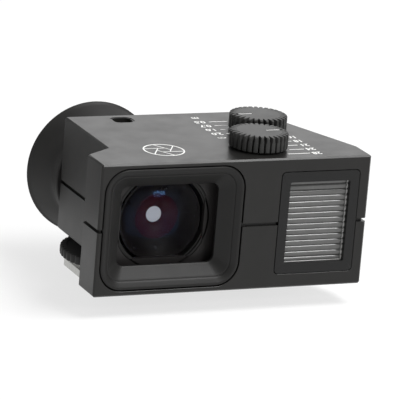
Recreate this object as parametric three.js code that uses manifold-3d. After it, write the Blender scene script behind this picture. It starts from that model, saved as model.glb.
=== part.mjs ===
// Accessory-shoe viewfinder for a rangefinder camera, in millimetres, +Z up.
// The origin is the centre of the shoe foot's underside, the front faces -Y, and the optical axis runs along
// Y above the origin. The housing is two shells that meet at the optical axis, with a shadow groove between.
import * as THREE from 'three';
import { mergeVertices } from 'three/addons/utils/BufferGeometryUtils.js';
import Module from 'manifold-3d';

const wasm = await Module();
wasm.setup();

// ---------------------------------------------------------------- driving dimensions
const GAP = 0.3;                 // clearance between neighbouring pieces
const OVER = 0.4;                // how far a cutter runs past the face it cuts
const AXIS_Z = 20.15;            // optical axis, and the split between the shells
const TOP_Z = 35.2;              // top plate
const FRONT_BOTTOM_Z = 5.1;      // underside of the front block, which hangs in front of the shoe
const REAR_BOTTOM_Z = 8.9;       // underside of the rear body, above the foot
const FRONT_Y = -30.1;
const REAR_Y = 9.3;
const LEFT_X = -17.8;
const RIGHT_X = 47.2;
const NOTCH_X = -11.3;           // left side of the rear body
const BLOCK_LEFT_Y = -21.2;      // back of the front block, at its left side
const BLOCK_Y = -16.7;           // back of the front block, inside the notch
const KINK_Y = -22.6;            // where the right side turns inwards
const REAR_RIGHT_X = 35.7;
const WALL = 1.4;
const GROOVE = 0.8;              // height of the shadow groove round the split
const TONGUE = { depth: 0.8, rise: 0.35 };       // the lower shell's rim, which stands up behind the groove

const WINDOW_X = 35.07;          // centre of the illumination window
const FOCAL = { x: 23.3, y: -20.8 };
const DISTANCE = { x: 29.4, y: -6.9 };
const DIAL = { r: 6.63, teeth: 30, depth: 0.42, bottom: TOP_Z + 0.4, top: TOP_Z + 4.0, bevel: 1.0 };
const SHAFT_R = 1.5;
const LIGHT_Y = -8;              // the frame light crosses to the optical axis here
const SCREWS = [
  { x: -7.7, y: -14.6, bottom: REAR_BOTTOM_Z },
  { x: 12.5, y: 5.5, bottom: REAR_BOTTOM_Z },
  { x: 32.5, y: 5.3, bottom: REAR_BOTTOM_Z },
  { x: 41.8, y: -18.3, bottom: FRONT_BOTTOM_Z },
];
const FOOT = { width: 18.6, length: 18, thickness: 2.0 };   // accessory shoe foot, ISO 518
const WASHER = { half: 8.6, r: 1.2, bore: 5.4, bottom: 3.65, thickness: 0.5 };   // screwed down on the shoe
const WHEEL = { r: 13, bore: 5.8, teeth: 48, depth: 0.5, bottom: 4.5, top: 6.5 };   // lifts 0.25 mm to let go
const PILLAR_R = 4.5;
const FOOT_SCREW_R = 2.1;        // half the spacing of the foot screws

// ---------------------------------------------------------------- materials
const COLOURS = {
  anodised: [0x242423, 0.5, 0.4],
  hood_black: [0x1b1b1b, 0.6, 0.2],
  bezel_black: [0x161616, 0.5, 0.3],
  dial_black: [0x1d1d1d, 0.45, 0.5],
  rubber: [0x1a1a1a, 0.85, 0],
  steel: [0xb4b4b0, 0.3, 0.9],
  brass: [0xb08d4a, 0.4, 0.9],
  inner_black: [0x101010, 0.8, 0.1],
  optical_glass: [0xcfd6df, 0.05, 0],
  ribbed_glass: [0xc8c8c4, 0.15, 0],
  silvered: [0xdcdcdc, 0.05, 1],
  level_fluid: [0xb9cf5a, 0.1, 0],
};

const group = new THREE.Group();

function add(name, geometry, colour) {
  const [color, roughness, metalness] = COLOURS[colour];
  const material = new THREE.MeshStandardMaterial({ color, roughness, metalness });
  const mesh = new THREE.Mesh(closed(geometry), material);
  mesh.name = name;
  group.add(mesh);
}

// ---------------------------------------------------------------- geometry helpers
/** Vertices merged, collapsed triangles dropped, faces pointing out. */
function closed(geometry) {
  const bare = geometry.clone();
  bare.deleteAttribute('normal');
  bare.deleteAttribute('uv');
  const merged = mergeVertices(bare, 1e-4);
  const faces = [];
  const index = merged.index.array;
  for (let i = 0; i < index.length; i += 3) {
    const [a, b, c] = [index[i], index[i + 1], index[i + 2]];
    if (a !== b && b !== c && a !== c) faces.push(a, b, c);
  }
  const position = merged.getAttribute('position');
  const [p, q, r] = [new THREE.Vector3(), new THREE.Vector3(), new THREE.Vector3()];
  let volume = 0;
  for (let i = 0; i < faces.length; i += 3) {
    p.fromBufferAttribute(position, faces[i]);
    q.fromBufferAttribute(position, faces[i + 1]);
    r.fromBufferAttribute(position, faces[i + 2]);
    volume += p.dot(q.cross(r));
  }
  merged.setIndex(volume < 0 ? faces.reverse() : faces);
  return merged;
}

function toSolid(geometry) {
  const g = closed(geometry);
  const vertProperties = new Float32Array(g.getAttribute('position').array);
  const triVerts = new Uint32Array(g.index.array);
  return new wasm.Manifold(new wasm.Mesh({ numProp: 3, vertProperties, triVerts }));
}

function toGeometry(solid) {
  const mesh = solid.getMesh();
  const geometry = new THREE.BufferGeometry();
  geometry.setAttribute('position', new THREE.BufferAttribute(new Float32Array(mesh.vertProperties), 3));
  geometry.setIndex(Array.from(mesh.triVerts));
  return geometry;
}

function join(...parts) {
  return toGeometry(parts.map(toSolid).reduce((a, b) => a.add(b)));
}

function cut(base, ...tools) {
  return toGeometry(tools.map(toSolid).reduce((a, b) => a.subtract(b), toSolid(base)));
}

function common(a, b) {
  return toGeometry(toSolid(a).intersect(toSolid(b)));
}

function box(x0, x1, y0, y1, z0, z1) {
  const g = new THREE.BoxGeometry(x1 - x0, y1 - y0, z1 - z0);
  return g.translate((x0 + x1) / 2, (y0 + y1) / 2, (z0 + z1) / 2);
}

/** A shape drawn in X and Y, from z0 up to z1. */
function extrudeZ(shape, z0, z1) {
  const g = new THREE.ExtrudeGeometry(shape, { depth: z1 - z0, bevelEnabled: false, curveSegments: 8 });
  return g.translate(0, 0, z0);
}

/** A shape drawn in X and Z, from y0 back to y1. */
function extrudeY(shape, y0, y1) {
  const g = new THREE.ExtrudeGeometry(shape, { depth: y1 - y0, bevelEnabled: false, curveSegments: 8 });
  return g.rotateX(Math.PI / 2).translate(0, y1, 0);
}

/** A shape drawn in Y and Z, from x0 across to x1. */
function extrudeX(shape, x0, x1) {
  const g = new THREE.ExtrudeGeometry(shape, { depth: x1 - x0, bevelEnabled: false, curveSegments: 8 });
  const turn = new THREE.Matrix4().set(0, 0, 1, 0, 1, 0, 0, 0, 0, 1, 0, 0, 0, 0, 0, 1);
  return g.applyMatrix4(turn).translate(x0, 0, 0);
}

function lathe(profile, segments) {
  return new THREE.LatheGeometry(profile.map(([r, h]) => new THREE.Vector2(r, h)), segments);
}

/** A profile of [radius, y] spun about the line through (x, z) along Y. */
function latheY(profile, x, z, segments = 30) {
  return lathe(profile, segments).translate(x, 0, z);
}

/** A profile of [radius, z] spun about the line through (x, y) along Z. */
function latheZ(profile, x, y, segments = 24) {
  return lathe(profile, segments).rotateX(Math.PI / 2).translate(x, y, 0);
}

/** A profile of [radius, x] spun about the line through (y, z) along X. */
function latheX(profile, y, z, segments = 20) {
  return lathe(profile, segments).rotateZ(-Math.PI / 2).translate(0, y, z);
}

function rod(x, y, r, z0, z1, segments = 14) {
  return latheZ([[0, z0], [r, z0], [r, z1], [0, z1]], x, y, segments);
}

function rodY(x, z, r, y0, y1, segments = 30) {
  return latheY([[0, y0], [r, y0], [r, y1], [0, y1]], x, z, segments);
}

/** A closed ring profile between two radii and two heights. */
function ringProfile(inner, outer, h0, h1) {
  return [[inner, h0], [outer, h0], [outer, h1], [inner, h1], [inner, h0]];
}

function polygon(points) {
  return new THREE.Shape(points.map(([x, y]) => new THREE.Vector2(x, y)));
}

/** The points of a rounded rectangle about (cx, cy), counter-clockwise, with the same count for any size. */
function roundedPoints(cx, cy, hw, hh, r, steps = 7) {
  const points = [];
  for (let corner = 0; corner < 4; corner += 1) {
    const sx = corner === 0 || corner === 3 ? 1 : -1;
    const sy = corner < 2 ? 1 : -1;
    for (let i = 0; i <= steps; i += 1) {
      const a = (corner + i / steps) * Math.PI / 2;
      points.push([cx + sx * (hw - r) + r * Math.cos(a), cy + sy * (hh - r) + r * Math.sin(a)]);
    }
  }
  return points;
}

function roundedRect(cx, cy, hw, hh, r, steps) {
  return polygon(roundedPoints(cx, cy, hw, hh, r, steps));
}

/** A solid through rounded rectangles { y, hw, hh, r } one behind the other about (x, z). */
function loftY(x, z, sections) {
  const rings = sections.map((s) => roundedPoints(x, z, s.hw, s.hh, s.r).map(([px, pz]) => [px, s.y, pz]));
  const count = rings[0].length;
  const position = rings.flat(2);
  const index = [];
  for (let ring = 0; ring + 1 < rings.length; ring += 1) {
    for (let i = 0; i < count; i += 1) {
      const [a, b] = [ring * count + i, ring * count + (i + 1) % count];
      index.push(a, b, a + count, b, b + count, a + count);
    }
  }
  const last = (rings.length - 1) * count;
  for (let i = 1; i + 1 < count; i += 1) {
    index.push(0, i + 1, i, last, last + i, last + i + 1);
  }
  const geometry = new THREE.BufferGeometry();
  geometry.setAttribute('position', new THREE.Float32BufferAttribute(position, 3));
  geometry.setIndex(index);
  return geometry;
}

/** A counter-clockwise polygon moved inwards by d, with mitred corners. */
function inset(points, d) {
  return points.map((p, i) => {
    const before = points[(i + points.length - 1) % points.length];
    const after = points[(i + 1) % points.length];
    const u = new THREE.Vector2(p[0] - before[0], p[1] - before[1]).normalize();
    const v = new THREE.Vector2(after[0] - p[0], after[1] - p[1]).normalize();
    const turn = d / (1 + u.dot(v));
    return [p[0] + turn * (-u.y - v.y), p[1] + turn * (u.x + v.x)];
  });
}

/** The outline of a knurled wheel: straight-sided ridges with a flat crest. */
function knurled(x, y, r, depth, teeth) {
  const points = [];
  const steps = [[-0.3, r - depth], [-0.14, r], [0.14, r], [0.3, r - depth]];
  for (let t = 0; t < teeth; t += 1) {
    for (const [at, radius] of steps) {
      const a = 2 * Math.PI * (t + at) / teeth;
      points.push([x + radius * Math.cos(a), y + radius * Math.sin(a)]);
    }
  }
  return polygon(points);
}

// ---------------------------------------------------------------- housing
const sideSlope = (REAR_RIGHT_X - RIGHT_X) / (REAR_Y - KINK_Y);
const PLAN = [
  [LEFT_X, FRONT_Y],
  [RIGHT_X, FRONT_Y],
  [RIGHT_X, KINK_Y],
  [REAR_RIGHT_X, REAR_Y],
  [NOTCH_X, REAR_Y],
  [NOTCH_X, BLOCK_Y],
  [LEFT_X, BLOCK_LEFT_Y],
];
const BLOCK_PLAN = [
  [LEFT_X, FRONT_Y],
  [RIGHT_X, FRONT_Y],
  [RIGHT_X, KINK_Y],
  [RIGHT_X + sideSlope * (BLOCK_Y - KINK_Y), BLOCK_Y],
  [NOTCH_X, BLOCK_Y],
  [LEFT_X, BLOCK_LEFT_Y],
];
const SEAT_Y = FRONT_Y + 1.2;    // back of the flanges that lie in the front face
const HOOD = { hw: 16.5, hh: 13.7, r: 5.3, back: -24.2 };
const FRAME = { hw: 9.4, hh: 11.6, r: 0.8, back: -25.8 };
const SLOT = { x: 1.2, y: 5.2, hw: 2.25, hh: 1.85, r: 1.3 };
const DIAL_HOLE_R = 3.2;
const EYEPIECE_R = 8.0;
const SCREW = { headR: 1.5, headH: 0.9, shankR: 0.8, top: 28.0 };
const BOSS_R = 1.9;

/** The openings that both shells share: hood, illumination window, eyepiece. */
function sharedOpenings() {
  const hood = roundedRect(0, AXIS_Z, HOOD.hw + GAP, HOOD.hh + GAP, HOOD.r + GAP);
  const frame = roundedRect(WINDOW_X, AXIS_Z, FRAME.hw + GAP, FRAME.hh + GAP, FRAME.r + GAP);
  return [
    extrudeY(hood, FRONT_Y - OVER, FRONT_Y + WALL),
    extrudeY(frame, FRONT_Y - OVER, FRONT_Y + WALL + OVER),
    rodY(0, AXIS_Z, EYEPIECE_R + GAP, REAR_Y - WALL - OVER, REAR_Y + OVER),
  ];
}

function upperHousing() {
  const rim = AXIS_Z + GROOVE / 2;
  const shell = cut(
    extrudeZ(polygon(PLAN), rim, TOP_Z),
    extrudeZ(polygon(inset(PLAN, WALL)), rim - OVER, TOP_Z - WALL),
    extrudeZ(polygon(inset(PLAN, TONGUE.depth - GAP)), rim - OVER, rim + TONGUE.rise + GAP),
  );
  const bosses = SCREWS.map((s) => rod(s.x, s.y, BOSS_R, AXIS_Z + 0.15, TOP_Z - WALL / 2));
  const holes = SCREWS.map((s) => rod(s.x, s.y, SCREW.shankR + GAP, AXIS_Z - OVER, SCREW.top + 0.5));
  const slotShape = roundedRect(SLOT.x, SLOT.y, SLOT.hw, SLOT.hh, SLOT.r);
  const slot = extrudeZ(slotShape, TOP_Z - WALL - OVER, TOP_Z + OVER);
  const dialHoles = [FOCAL, DISTANCE].map((d) => rod(d.x, d.y, DIAL_HOLE_R, TOP_Z - WALL - OVER, TOP_Z + OVER));
  return cut(join(shell, ...bosses), ...sharedOpenings(), ...holes, ...dialHoles, slot);
}

function lowerHousing() {
  const rim = AXIS_Z - GROOVE / 2;
  const tongueTop = AXIS_Z + GROOVE / 2 + TONGUE.rise;
  const outer = join(
    extrudeZ(polygon(PLAN), REAR_BOTTOM_Z, rim),
    extrudeZ(polygon(BLOCK_PLAN), FRONT_BOTTOM_Z, REAR_BOTTOM_Z + 1),
    extrudeZ(polygon(inset(PLAN, TONGUE.depth)), rim - 1, tongueTop),
  );
  const hollow = [
    extrudeZ(polygon(inset(PLAN, WALL)), REAR_BOTTOM_Z + WALL, tongueTop + OVER),
    extrudeZ(polygon(inset(BLOCK_PLAN, WALL)), FRONT_BOTTOM_Z + WALL, REAR_BOTTOM_Z + WALL + OVER),
  ];
  const bosses = SCREWS.map((s) => rod(s.x, s.y, BOSS_R, s.bottom + 0.5, AXIS_Z - 0.15));
  const holes = SCREWS.flatMap((s) => [
    rod(s.x, s.y, SCREW.shankR + GAP, s.bottom - OVER, AXIS_Z + OVER),
    rod(s.x, s.y, SCREW.headR + GAP, s.bottom - OVER, s.bottom + SCREW.headH + GAP),
  ]);
  return cut(join(cut(outer, ...hollow), ...bosses), ...sharedOpenings(), ...holes);
}

/** A screw of { headR, headH, shankR, top }, head down, with a straight slot across its head. */
function screw(x, y, bottom, size) {
  const { headR, headH, shankR, top } = size;
  const body = latheZ([
    [0, bottom], [headR, bottom], [headR, bottom + headH * 0.6],
    [shankR, bottom + headH], [shankR, top], [0, top],
  ], x, y, 12);
  return cut(body, box(x - headR - OVER, x + headR + OVER, y - 0.2, y + 0.2, bottom - OVER, bottom + 0.4));
}

function addHousing() {
  add('upper_housing', upperHousing(), 'anodised');
  add('lower_housing', lowerHousing(), 'anodised');
  SCREWS.forEach((s, i) => {
    add(`housing_screw_${i + 1}`, screw(s.x, s.y, s.bottom + 0.1, SCREW), 'steel');
  });
}

// ---------------------------------------------------------------- hood and objective
const SKIRT = { hw: 15.3, hh: 12.6, r: 4.2 };        // the hood inside the housing, and the lens board
const THROAT = { hw: 11.65, hh: 9.15, r: 1.7 };      // inner end of the funnel
const CHAMBER = { hw: 13.9, hh: 11.2, r: 3 };        // hollow between the funnel and the lens
const BOARD = { front: HOOD.back + GAP, thickness: 1.2 };
const CELL = { r: 11.4, bore: 10.5, lip: 9.9, flange: 12.4, front: -23.9, back: -18.9 };
const LENS = { frontR: 60, rearR: 16, rearRim: 8.9, thickness: 1.05 };

/** Flanged hood: a narrow bevelled rim, a small step, and a funnel down to the throat. */
function frontHood() {
  const moved = (d) => ({ hw: HOOD.hw - d, hh: HOOD.hh - d, r: HOOD.r - d });
  const flange = extrudeY(roundedRect(0, AXIS_Z, HOOD.hw, HOOD.hh, HOOD.r), FRONT_Y, SEAT_Y);
  const skirt = extrudeY(roundedRect(0, AXIS_Z, SKIRT.hw, SKIRT.hh, SKIRT.r), SEAT_Y - OVER, HOOD.back);
  const funnel = loftY(0, AXIS_Z, [
    { y: FRONT_Y - OVER, ...moved(0.35) },
    { y: FRONT_Y, ...moved(0.35) },
    { y: FRONT_Y + 0.7, ...moved(1.8) },
    { y: FRONT_Y + 0.95, ...moved(2.0) },
    { y: FRONT_Y + 3.0, ...THROAT },
    { y: FRONT_Y + 4.5, ...THROAT },
  ]);
  const hollow = roundedRect(0, AXIS_Z, CHAMBER.hw, CHAMBER.hh, CHAMBER.r);
  return cut(join(flange, skirt), funnel, extrudeY(hollow, FRONT_Y + 3.8, HOOD.back + OVER));
}

/** A lens face as profile points from the axis out to the rim; a positive sag bows towards -Y. */
function lensFace(vertexY, sphereR, rimR, sign, steps = 4) {
  const points = [];
  for (let i = 0; i <= steps; i += 1) {
    const r = rimR * i / steps;
    points.push([r, vertexY + sign * (sphereR - Math.sqrt(sphereR * sphereR - r * r))]);
  }
  return points;
}

function addObjective() {
  add('front_hood', frontHood(), 'hood_black');
  const boardBack = BOARD.front + BOARD.thickness;
  const board = extrudeY(roundedRect(0, AXIS_Z, SKIRT.hw, SKIRT.hh, SKIRT.r), BOARD.front, boardBack);
  const boardHole = rodY(0, AXIS_Z, CELL.r + GAP, BOARD.front - OVER, boardBack + OVER, 36);
  add('lens_board', cut(board, boardHole), 'hood_black');
  const flangeY = boardBack + GAP;
  const cell = latheY([
    [CELL.lip, CELL.front], [CELL.r, CELL.front], [CELL.r, flangeY], [CELL.flange, flangeY],
    [CELL.flange, flangeY + 1], [CELL.r, flangeY + 1], [CELL.r, CELL.back], [CELL.bore, CELL.back],
    [CELL.bore, CELL.front + 0.6], [CELL.lip, CELL.front + 0.6], [CELL.lip, CELL.front],
  ], 0, AXIS_Z, 36);
  add('objective_cell', cell, 'hood_black');
  const rimR = CELL.bore - GAP;
  const lensY = CELL.front + 0.6 + GAP;
  const rise = LENS.frontR - Math.sqrt(LENS.frontR ** 2 - rimR ** 2);
  const front = lensFace(lensY - rise, LENS.frontR, rimR, 1);
  const rear = lensFace(lensY - rise + LENS.thickness, LENS.rearR, LENS.rearRim, 1).reverse();
  const rearRimY = rear[0][1];
  add('objective_lens', latheY([...front, [rimR, rearRimY], ...rear], 0, AXIS_Z), 'optical_glass');
  const ring = ringProfile(LENS.rearRim, rimR, rearRimY + GAP, CELL.back - 0.1);
  add('objective_ring', latheY(ring, 0, AXIS_Z), 'inner_black');
}

// ---------------------------------------------------------------- illumination window
const GLASS = { hw: 7.35, hh: 9.4, front: FRONT_Y + 1.1, back: FRONT_Y + 2.5, ribs: 15 };

/** Flush frame with a pocket behind its mouth for the pane. */
function windowFrame() {
  const plate = (margin, r, y0, y1) => {
    return extrudeY(roundedRect(WINDOW_X, AXIS_Z, GLASS.hw + margin, GLASS.hh + margin, r, 4), y0, y1);
  };
  const flange = extrudeY(roundedRect(WINDOW_X, AXIS_Z, FRAME.hw, FRAME.hh, FRAME.r), FRONT_Y, SEAT_Y);
  const skirt = plate(1.55, 0.8, SEAT_Y - OVER, FRAME.back);
  const mouth = plate(0, 0.4, FRONT_Y - OVER, FRONT_Y + 2);
  const pocket = plate(0.6, 0.4, FRONT_Y + 0.8, FRAME.back + OVER);
  return cut(join(flange, skirt), mouth, pocket);
}

/** A pane whose front is a row of horizontal ribs, each a shallow ridge. */
function ribbedPane() {
  const bottom = AXIS_Z - GLASS.hh - GAP;
  const pitch = 2 * (GLASS.hh + GAP) / GLASS.ribs;
  const points = [[GLASS.back, bottom]];
  for (let i = 0; i < GLASS.ribs; i += 1) {
    const z = bottom + i * pitch;
    points.push([GLASS.front + 0.35, z]);
    points.push([GLASS.front, z + pitch * 0.35]);
    points.push([GLASS.front + 0.12, z + pitch * 0.75]);
  }
  const top = bottom + GLASS.ribs * pitch;
  points.push([GLASS.front + 0.35, top], [GLASS.back, top]);
  return extrudeX(polygon(points.reverse()), WINDOW_X - GLASS.hw - GAP, WINDOW_X + GLASS.hw + GAP);
}

function addWindow() {
  add('window_frame', windowFrame(), 'bezel_black');
  add('window_glass', ribbedPane(), 'ribbed_glass');
  const plate = roundedRect(WINDOW_X, AXIS_Z, GLASS.hw + GAP, GLASS.hh + GAP, 0.4, 4);
  add('diffuser', extrudeY(plate, GLASS.back + GAP, GLASS.back + GAP + 0.8), 'ribbed_glass');
}

// ---------------------------------------------------------------- inner optics
const FLOOR_Z = REAR_BOTTOM_Z + WALL;
const CHASSIS_TOP = FLOOR_Z + 1.1;
const CHASSIS_REAR_Y = 6.6;
const COLLIMATOR = { front: 15.6, back: 20.4, bore: 7.5, r: 8.3, sphereR: 22 };   // front and back along X

/** A plate standing at 45 degrees across the light path, and the slotted block that holds its foot. */
function addSlantedPlate(name, holder, x, length, thickness, colour) {
  const along = new THREE.Vector2(1, -1).normalize();
  const across = new THREE.Vector2(1, 1).normalize();
  const corners = (half, depth) => polygon([[-half, -depth], [half, -depth], [half, depth], [-half, depth]]
    .map(([u, v]) => [x + u * along.x + v * across.x, LIGHT_Y + u * along.y + v * across.y]));
  const base = CHASSIS_TOP + GAP;
  add(name, extrudeZ(corners(length / 2, thickness / 2), base + 1.3, AXIS_Z + 7.6), colour);
  const block = extrudeZ(corners(length / 2 - 1, thickness / 2 + 1.2), base, base + 2.6);
  const slit = extrudeZ(corners(length / 2 + 1, thickness / 2 + GAP), base + 1.0, base + 3);
  add(holder, cut(block, slit), 'inner_black');
}

function addInnerOptics() {
  const plan = extrudeZ(polygon(inset(PLAN, WALL + 0.5)), FLOOR_Z + GAP, CHASSIS_TOP);
  const rear = box(LEFT_X, RIGHT_X, BLOCK_Y - WALL + 0.5, CHASSIS_REAR_Y, FLOOR_Z, CHASSIS_TOP + 1);
  const bossHoles = SCREWS.map((s) => rod(s.x, s.y, BOSS_R + GAP, FLOOR_Z, CHASSIS_TOP + 1));
  const chassis = cut(common(plan, rear), ...bossHoles);
  add('optics_chassis', chassis, 'inner_black');
  addSlantedPlate('beam_splitter', 'splitter_holder', 0, 19, 1.2, 'optical_glass');
  addSlantedPlate('light_mirror', 'mirror_holder', 33.5, 18, 1.4, 'silvered');
  const { front, back, bore, r, sphereR } = COLLIMATOR;
  add('collimator_cell', latheX(ringProfile(bore, r, front, back), LIGHT_Y, AXIS_Z, 24), 'inner_black');
  const lens = [
    ...lensFace(front + 0.4, sphereR, bore - GAP, 1),
    ...lensFace(back - 0.4, sphereR, bore - GAP, -1).reverse(),
  ];
  add('collimator_lens', latheX(lens, LIGHT_Y, AXIS_Z, 24), 'optical_glass');
}

// ---------------------------------------------------------------- eyepiece and eyecup
const TUBE = { front: 0.6, back: 14.6, bore: 6.6, seat: 7.2, seatY: 9.0, flange: 9.4 };
const EYE_LENS = { front: 9.6, back: 12.6, sphereR: 30 };
const CUP = { neckR: 12.1, front: REAR_Y + GAP, bowl: 14.9, rimR: 15.8, rimY: 18.8 };

function addEyepiece() {
  const flangeBack = REAR_Y - WALL - GAP;
  const tube = latheY([
    [TUBE.bore, TUBE.front], [EYEPIECE_R, TUBE.front], [EYEPIECE_R, flangeBack - 0.6],
    [TUBE.flange, flangeBack - 0.6], [TUBE.flange, flangeBack], [EYEPIECE_R, flangeBack],
    [EYEPIECE_R, TUBE.back], [TUBE.seat, TUBE.back], [TUBE.seat, TUBE.seatY],
    [TUBE.bore, TUBE.seatY], [TUBE.bore, TUBE.front],
  ], 0, AXIS_Z);
  add('eyepiece_tube', tube, 'inner_black');
  const rimR = TUBE.seat - GAP;
  const lens = [
    ...lensFace(EYE_LENS.front, EYE_LENS.sphereR, rimR, 1),
    ...lensFace(EYE_LENS.back, EYE_LENS.sphereR, rimR, -1).reverse(),
  ];
  add('eyepiece_lens', latheY(lens, 0, AXIS_Z), 'optical_glass');
  const ring = ringProfile(5.4, rimR, EYE_LENS.back + GAP, TUBE.back - GAP);
  add('eyepiece_ring', latheY(ring, 0, AXIS_Z), 'inner_black');
  const bore = EYEPIECE_R + GAP;
  const cup = latheY([
    [bore, CUP.front], [CUP.neckR, CUP.front], [CUP.neckR, CUP.front + 2.3], [CUP.neckR + 0.4, CUP.front + 3.2],
    [CUP.rimR - 0.2, CUP.rimY - 0.4], [CUP.rimR, CUP.rimY], [CUP.rimR, CUP.rimY + 0.3],
    [CUP.rimR - 0.3, CUP.rimY + 0.5], [CUP.rimR - 0.7, CUP.rimY + 0.4], [CUP.rimR - 1.2, CUP.rimY - 0.2],
    [bore + 2.9, CUP.bowl + 0.3], [bore + 2.1, CUP.bowl], [bore, CUP.bowl], [bore, CUP.front],
  ], 0, AXIS_Z, 40);
  add('eyecup', cup, 'rubber');
}

// ---------------------------------------------------------------- spirit level
const VIAL = { r: 1.5, half: 4.6, y: 5.0, z: 30.8 };    // half its length, and where its axis runs along X

function addLevel() {
  const under = TOP_Z - WALL - GAP;
  const pane = extrudeZ(roundedRect(SLOT.x, SLOT.y, 3.2, 2.5, 0.6), under - 0.8, under);
  add('slot_window', pane, 'optical_glass');
  const { r, half, y, z } = VIAL;
  const [left, right] = [SLOT.x - half, SLOT.x + half];
  const vial = latheX([
    [0, left], [r * 0.7, left + 0.4], [r, left + 1.2], [r, right - 1.2], [r * 0.7, right - 0.4], [0, right],
  ], y, z, 20);
  add('level_vial', vial, 'level_fluid');
  const block = box(left - 0.6, right + 0.6, y - r - GAP, y + r + 0.1, z - 2.3, z - 0.9);
  const groove = latheX([[0, left - 2], [r + GAP, left - 2], [r + GAP, right + 2], [0, right + 2]], y, z, 20);
  add('level_cradle', cut(block, groove), 'inner_black');
}

// ---------------------------------------------------------------- dials, cams and frame mask
const CAM = { bottom: 31.7, top: 32.6, r: 7.2, bore: SHAFT_R + GAP };
const FOLLOWER = { rest: 4.6, r: 0.6, travel: 1.0 };
const SWEEP = Math.PI / 3;       // each dial turns this far either way from its middle setting
const SHAFT_END = { focal: 30.8, distance: 28.0 };
const RAMP = { r: 4.2, lead: 3.0, mid: 30.95, top: 32.6 };

/** Knurled dial with a bevelled crown and an index groove that points along direction (+1 or -1) X. */
function dial(at, direction) {
  const knurl = extrudeZ(knurled(at.x, at.y, DIAL.r, DIAL.depth, DIAL.teeth), DIAL.bottom, DIAL.top);
  const crown = latheZ([
    [0, DIAL.bottom - 1], [DIAL.r + 1, DIAL.bottom - 1], [DIAL.r + 1, DIAL.top - DIAL.bevel - 0.6],
    [DIAL.r - DIAL.bevel - 0.55, DIAL.top], [0, DIAL.top],
  ], at.x, at.y, 30);
  const bore = rod(at.x, at.y, SHAFT_R + GAP, DIAL.bottom - OVER, DIAL.top - 0.8);
  const ends = [at.x + direction * 1.65, at.x + direction * 4.4].sort((a, b) => a - b);
  const index = box(...ends, at.y - 0.18, at.y + 0.18, DIAL.top - 0.3, DIAL.top + OVER);
  return cut(common(knurl, crown), bore, index);
}

/** Shaft, bush and clip that carry a dial in the top plate. */
function addBearing(prefix, at, shaftBottom) {
  add(`${prefix}_shaft`, rod(at.x, at.y, SHAFT_R, shaftBottom, DIAL.top - 1.1, 24), 'steel');
  const bush = latheZ([
    [CAM.bore, CAM.top + GAP], [4.2, CAM.top + GAP], [4.2, CAM.top + GAP + 0.6], [2.9, CAM.top + GAP + 0.6],
    [2.9, TOP_Z + 0.1], [CAM.bore, TOP_Z + 0.1], [CAM.bore, CAM.top + GAP],
  ], at.x, at.y, 24);
  add(`${prefix}_bush`, bush, 'brass');
}

/** A slit retaining clip round a shaft. */
function clip(at, bottom) {
  const top = bottom + 0.4;
  const ring = latheZ(ringProfile(CAM.bore, 2.7, bottom, top), at.x, at.y, 24);
  return cut(ring, box(at.x - 0.7, at.x + 0.7, at.y, at.y + 4, bottom - OVER, top + OVER));
}

/** The curved slot whose centre line moves a follower evenly as the cam turns. */
function spiralSlot(at, start) {
  const reach = SWEEP + 0.2;
  const [steps, half] = [8, FOLLOWER.r + GAP];
  const side = (sign) => Array.from({ length: steps + 1 }, (_, i) => {
    const a = -reach + 2 * reach * i / steps;
    const r = FOLLOWER.rest + FOLLOWER.travel * a / SWEEP + sign * half;
    return [at.x + r * Math.cos(start - a), at.y + r * Math.sin(start - a)];
  });
  return extrudeZ(polygon([...side(1), ...side(-1).reverse()]), CAM.bottom - OVER, CAM.top + OVER);
}

function focalCam() {
  const disc = rod(FOCAL.x, FOCAL.y, CAM.r, CAM.bottom, CAM.top, 36);
  const notches = [-2, -1, 0, 1, 2].map((i) => {
    const a = Math.PI / 2 + i * SWEEP / 2;
    const [x, y] = [FOCAL.x + CAM.r * Math.cos(a), FOCAL.y + CAM.r * Math.sin(a)];
    return rod(x, y, 0.5, CAM.bottom - OVER, CAM.top + OVER, 8);
  });
  const bore = rod(FOCAL.x, FOCAL.y, CAM.bore, CAM.bottom - OVER, CAM.top + OVER);
  return cut(disc, bore, spiralSlot(FOCAL, 0), spiralSlot(FOCAL, Math.PI), ...notches);
}

/** A disc on the distance shaft whose underside falls away evenly with angle, to lift the carriage. */
function distanceCam() {
  const [reach, steps, discZ] = [SWEEP + 0.28, 10, 31.8];
  const disc = latheZ(ringProfile(CAM.bore, RAMP.r, discZ, RAMP.top), DISTANCE.x, DISTANCE.y, 28);
  const position = [];
  const index = [];
  for (let i = 0; i <= steps; i += 1) {
    const a = -reach + 2 * reach * i / steps;
    const z = RAMP.mid + RAMP.lead * a / (2 * Math.PI);
    const [inner, top] = [CAM.bore + 0.1, discZ + 0.3];
    for (const [r, height] of [[inner, z], [RAMP.r, z], [RAMP.r, top], [inner, top]]) {
      position.push(DISTANCE.x + r * Math.cos(a), DISTANCE.y + r * Math.sin(a), height);
    }
  }
  for (let i = 0; i < steps; i += 1) {
    for (let k = 0; k < 4; k += 1) {
      const [a, b] = [4 * i + k, 4 * i + (k + 1) % 4];
      index.push(a, b, a + 4, b, b + 4, a + 4);
    }
  }
  const last = 4 * steps;
  index.push(0, 2, 1, 0, 3, 2, last, last + 1, last + 2, last, last + 2, last + 3);
  const ramp = new THREE.BufferGeometry();
  ramp.setAttribute('position', new THREE.Float32BufferAttribute(position, 3));
  ramp.setIndex(index);
  return join(disc, ramp);
}

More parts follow.
